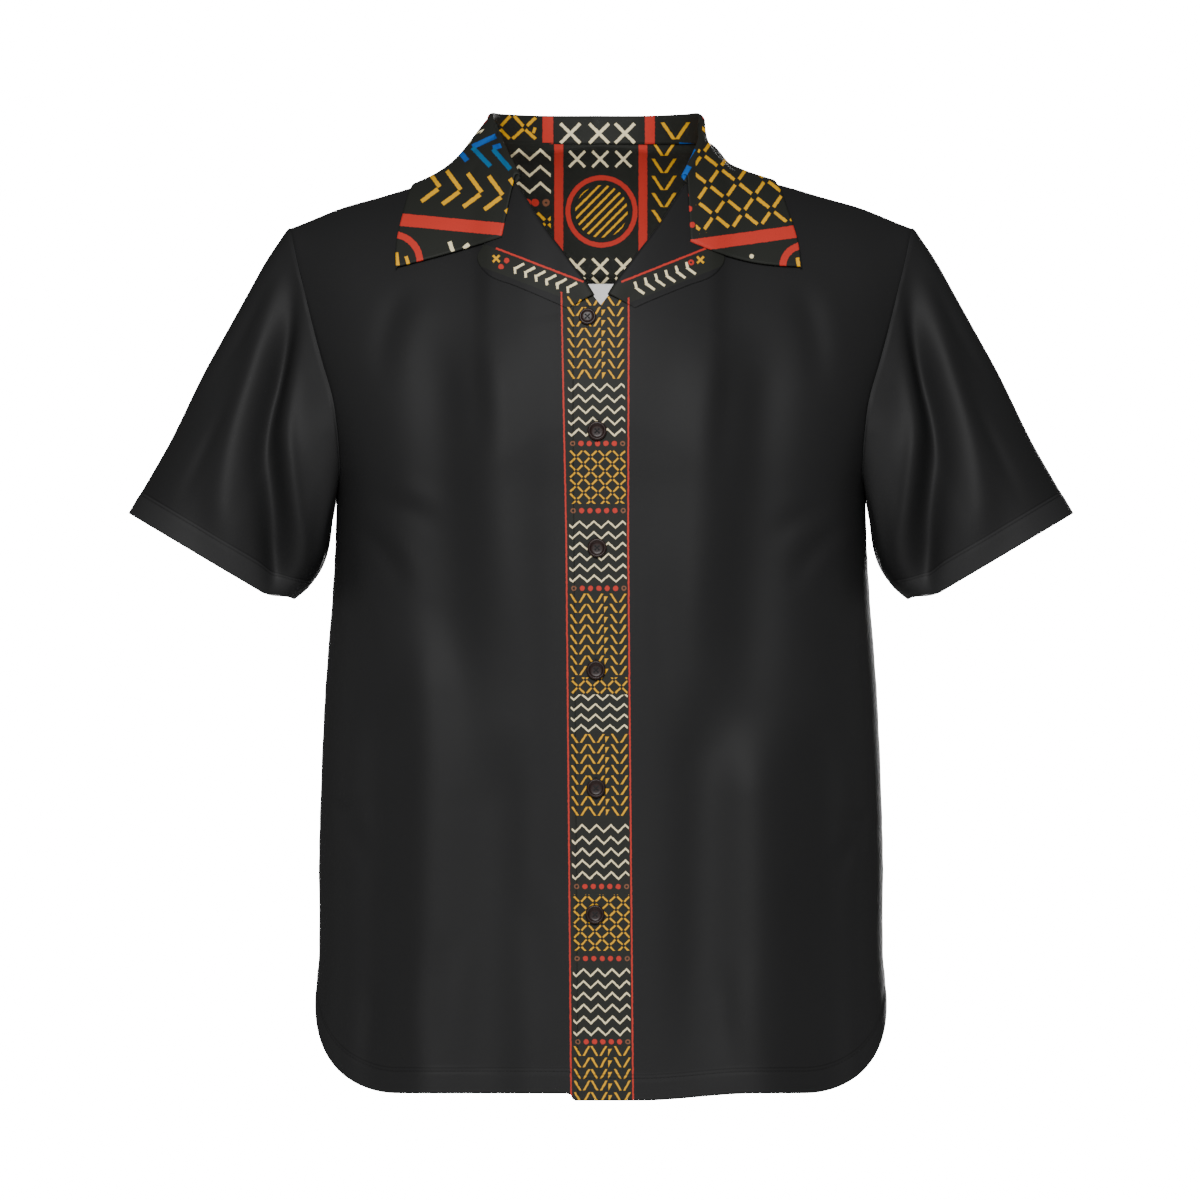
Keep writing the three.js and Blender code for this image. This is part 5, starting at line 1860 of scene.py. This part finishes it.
# A button: a rounded rim round a dished middle, with four holes crossed by thread
button_profile = (
    (0.0, 1.55),
    (0.42, 1.55),
    (0.60, 1.62),
    (0.68, 1.95),
    (0.74, 2.50),
    (0.82, 2.75),
    (0.92, 2.55),
    (0.985, 2.0),
    (1.0, 1.35),
    (0.95, 0.65),
    (0.80, 0.15),
    (0.55, 0.0),
    (0.0, 0.0),
)
button_holes = {"spread": 1.45, "radius": 0.75, "height": 1.56, "deep": 0.1}
button_thread = {"height": 1.75, "radius": 0.17, "long": 2.9, "apart": 0.32}
shank_radius = 1.1


def spun(shape, profile, radius, sides):
    """A profile of shares of the radius and heights, spun about the Z axis."""
    before = set(shape.verts)
    corners = [shape.verts.new((radius * r, 0, h)) for r, h in profile]
    edges = [shape.edges.new(pair) for pair in zip(corners, corners[1:])]
    bmesh.ops.spin(
        shape, geom=corners + edges, cent=(0, 0, 0), axis=(0, 0, 1),
        angle=math.tau, steps=sides, use_merge=True,
    )
    made = [v for v in shape.verts if v not in before]
    bmesh.ops.remove_doubles(shape, verts=made, dist=1e-4)
    return [v for v in shape.verts if v not in before]


def rod(shape, radius, length, sides, place):
    """A plain round rod about the Z axis of its place."""
    bmesh.ops.create_cone(
        shape, cap_ends=True, segments=sides,
        radius1=radius, radius2=radius, depth=length, matrix=place,
    )


def button(name, x, z, radius, material, thread):
    """A button on the top front, with its thread through four holes and its shank below."""
    point, normal = skin("front", x, z)
    facing = Vector(normal)
    turn = facing.to_track_quat("Z", "Y").to_matrix().to_4x4()
    place = Matrix.Translation(Vector(point) + facing * button_lift) @ turn
    disc = bmesh.new()
    spun(disc, button_profile, radius, 48)
    bmesh.ops.transform(disc, matrix=place, verts=disc.verts)
    piece = solid_of(name, disc, material)
    piece.data.shade_smooth()
    sewn_on = bmesh.new()
    for i in (-1, 1):
        for j in (-1, 1):
            at = (i * button_holes["spread"], j * button_holes["spread"], button_holes["height"])
            rod(sewn_on, button_holes["radius"], button_holes["deep"], 14, Matrix.Translation(at))
    strand_length = button_thread["long"] * button_holes["spread"]
    for k in (-1, 1):
        for side in (-1, 0, 1):
            at = Matrix.Translation((side * button_thread["apart"], 0, button_thread["height"]))
            at = at @ Matrix.Rotation(k * math.pi / 4, 4, "Z") @ Matrix.Rotation(math.pi / 2, 4, "X")
            rod(sewn_on, button_thread["radius"], strand_length, 8, at)
    shank = Matrix.Translation((0, 0, -button_lift / 2))
    rod(sewn_on, shank_radius, button_lift + 0.4, 12, shank)
    bmesh.ops.transform(sewn_on, matrix=place, verts=sewn_on.verts)
    threads = solid_of(f"{name}_thread", sewn_on, thread)
    return piece, threads


for k, (x, z, radius) in enumerate(zip(*button_rows.values()), 1):
    disc, threads = button(f"shirt_button_{k}", x, z, radius, button_plastic, dark_thread)
    for piece in (disc, threads):
        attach(piece, "root")
    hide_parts(f"button_{k}")

# Stitches: small beads of thread, each lying along its line and sunk by half
bead_size = (0.26, 0.24)
stitch_pitch = 3.2
stitch_lift = 0.12


def stitch_line(shape, points, normals, pitch, long=1.0):
    """Beads along a line of points on the cloth."""
    lengths = np.concatenate([[0], np.cumsum(np.linalg.norm(np.diff(points, axis=0), axis=1))])
    goals = np.arange(pitch, lengths[-1] - pitch / 2, pitch)
    places = np.stack([np.interp(goals, lengths, points[:, i]) for i in range(3)], -1)
    ahead = np.stack([np.interp(goals + 0.5, lengths, points[:, i]) for i in range(3)], -1)
    outs = np.stack([np.interp(goals, lengths, normals[:, i]) for i in range(3)], -1)
    for place, toward, out in zip(places, ahead - places, outs):
        along_it = Vector(toward).normalized()
        up = Vector(out).normalized()
        across = up.cross(along_it).normalized()
        turn = Matrix((along_it, across, up)).transposed().to_4x4()
        size = Matrix.Diagonal((long, *bead_size, 1))
        bmesh.ops.create_icosphere(
            shape, subdivisions=1, radius=1, matrix=Matrix.Translation(Vector(place)) @ turn @ size
        )


stitches = bmesh.new()
for line, outs in hem_stitches:
    stitch_line(stitches, line + outs * stitch_lift, outs, stitch_pitch)
sewing = solid_of("shirt_stitches", stitches, dark_thread)
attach(sewing, "root")

# Buttonholes: upright, corded both sides and barred at the ends
buttonhole_half = 8.6
cord_off = 0.75
bar_half = 1.6
bead_pitch = 0.75
bead_long = 0.45


def buttonhole(shape, x, z):
    heights = np.linspace(z - buttonhole_half, z + buttonhole_half, 24)
    for off in (-cord_off, cord_off):
        line, outs = skin("front", np.full_like(heights, x + off), heights, 0.1)
        stitch_line(shape, line, outs, bead_pitch, bead_long)
    for end in (heights[0], heights[-1]):
        across_it = np.linspace(x - bar_half, x + bar_half, 6)
        line, outs = skin("front", across_it, np.full_like(across_it, end), 0.15)
        stitch_line(shape, line, outs, bead_pitch, bead_long)


holes = bmesh.new()
for x, z, _ in zip(*button_rows.values()):
    buttonhole(holes, x, z)
buttonholes = solid_of("shirt_buttonholes", holes, dark_thread)
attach(buttonholes, "root")

# Camera, floor and lights

look_at = Vector((-0.8 * MM, -0.07, -347.1 * MM))
frame_width = 0.936
camera_distance = 40.0
sensor = 36
camera = bpy.data.objects.new("Camera", bpy.data.cameras.new("Camera"))
bpy.context.scene.collection.objects.link(camera)
camera.data.sensor_width = sensor
camera.data.lens = sensor * camera_distance / frame_width
camera.data.clip_end = 2000
camera.location = look_at + Vector((0, -camera_distance, 0))
camera.rotation_euler = (math.pi / 2, 0, 0)
bpy.context.scene.camera = camera

surroundings_light = 0.13
surroundings_shown = 18.0
lights = (
    ("Front", (-0.25, -3.6, 1.3), (1.8, 1.6), 178),
    ("Back", (0.3, 3.9, 0.0), (2.2, 1.8), 150),
    ("Left side", (-4.0, 1.0, -0.2), (1.4, 1.6), 9),
    ("Right side", (4.0, 1.0, -0.2), (1.4, 1.6), 9),
)
lights_aim = (0, 0, -0.35)
floor_height = -1.45
floor_radius = 2.2
floor_colour = (((232 / 255 + 0.055) / 1.055) ** 2.4,) * 3


def pale_floor():
    """A plain pale floor below the hanging shirt."""
    disc = bmesh.new()
    bmesh.ops.create_circle(disc, cap_ends=True, radius=floor_radius, segments=96)
    bmesh.ops.translate(disc, verts=disc.verts, vec=(0, 0, floor_height))
    mesh = bpy.data.meshes.new("Floor")
    disc.to_mesh(mesh)
    disc.free()
    floor = bpy.data.objects.new("Floor", mesh)
    bpy.context.scene.collection.objects.link(floor)
    finish = Finish("Pale floor", 0.9)
    finish.colour(floor_colour)
    mesh.materials.append(finish.material)


def soft_light(name, place, size, power):
    light = bpy.data.lights.new(name, "AREA")
    light.shape = "RECTANGLE"
    light.size, light.size_y = size
    light.energy = power
    lamp = bpy.data.objects.new(name, light)
    bpy.context.scene.collection.objects.link(lamp)
    lamp.visible_camera = False
    lamp.location = place
    lamp.rotation_euler = (Vector(lights_aim) - Vector(place)).to_track_quat("-Z", "Y").to_euler()


def studio():
    """Pale surroundings, which light the shirt less than they show."""
    world = bpy.data.worlds.new("Studio")
    bpy.context.scene.world = world
    world.use_nodes = True
    tree = world.node_tree
    background = tree.nodes["Background"]
    background.inputs["Color"].default_value = (1, 1, 1, 1)
    seen = tree.nodes.new("ShaderNodeLightPath").outputs["Is Camera Ray"]
    strength = tree.nodes.new("ShaderNodeMapRange")
    strength.inputs["To Min"].default_value = surroundings_light
    strength.inputs["To Max"].default_value = surroundings_shown
    tree.links.new(seen, strength.inputs["Value"])
    tree.links.new(strength.outputs["Result"], background.inputs["Strength"])


pale_floor()
studio()
for light_row in lights:
    soft_light(*light_row)
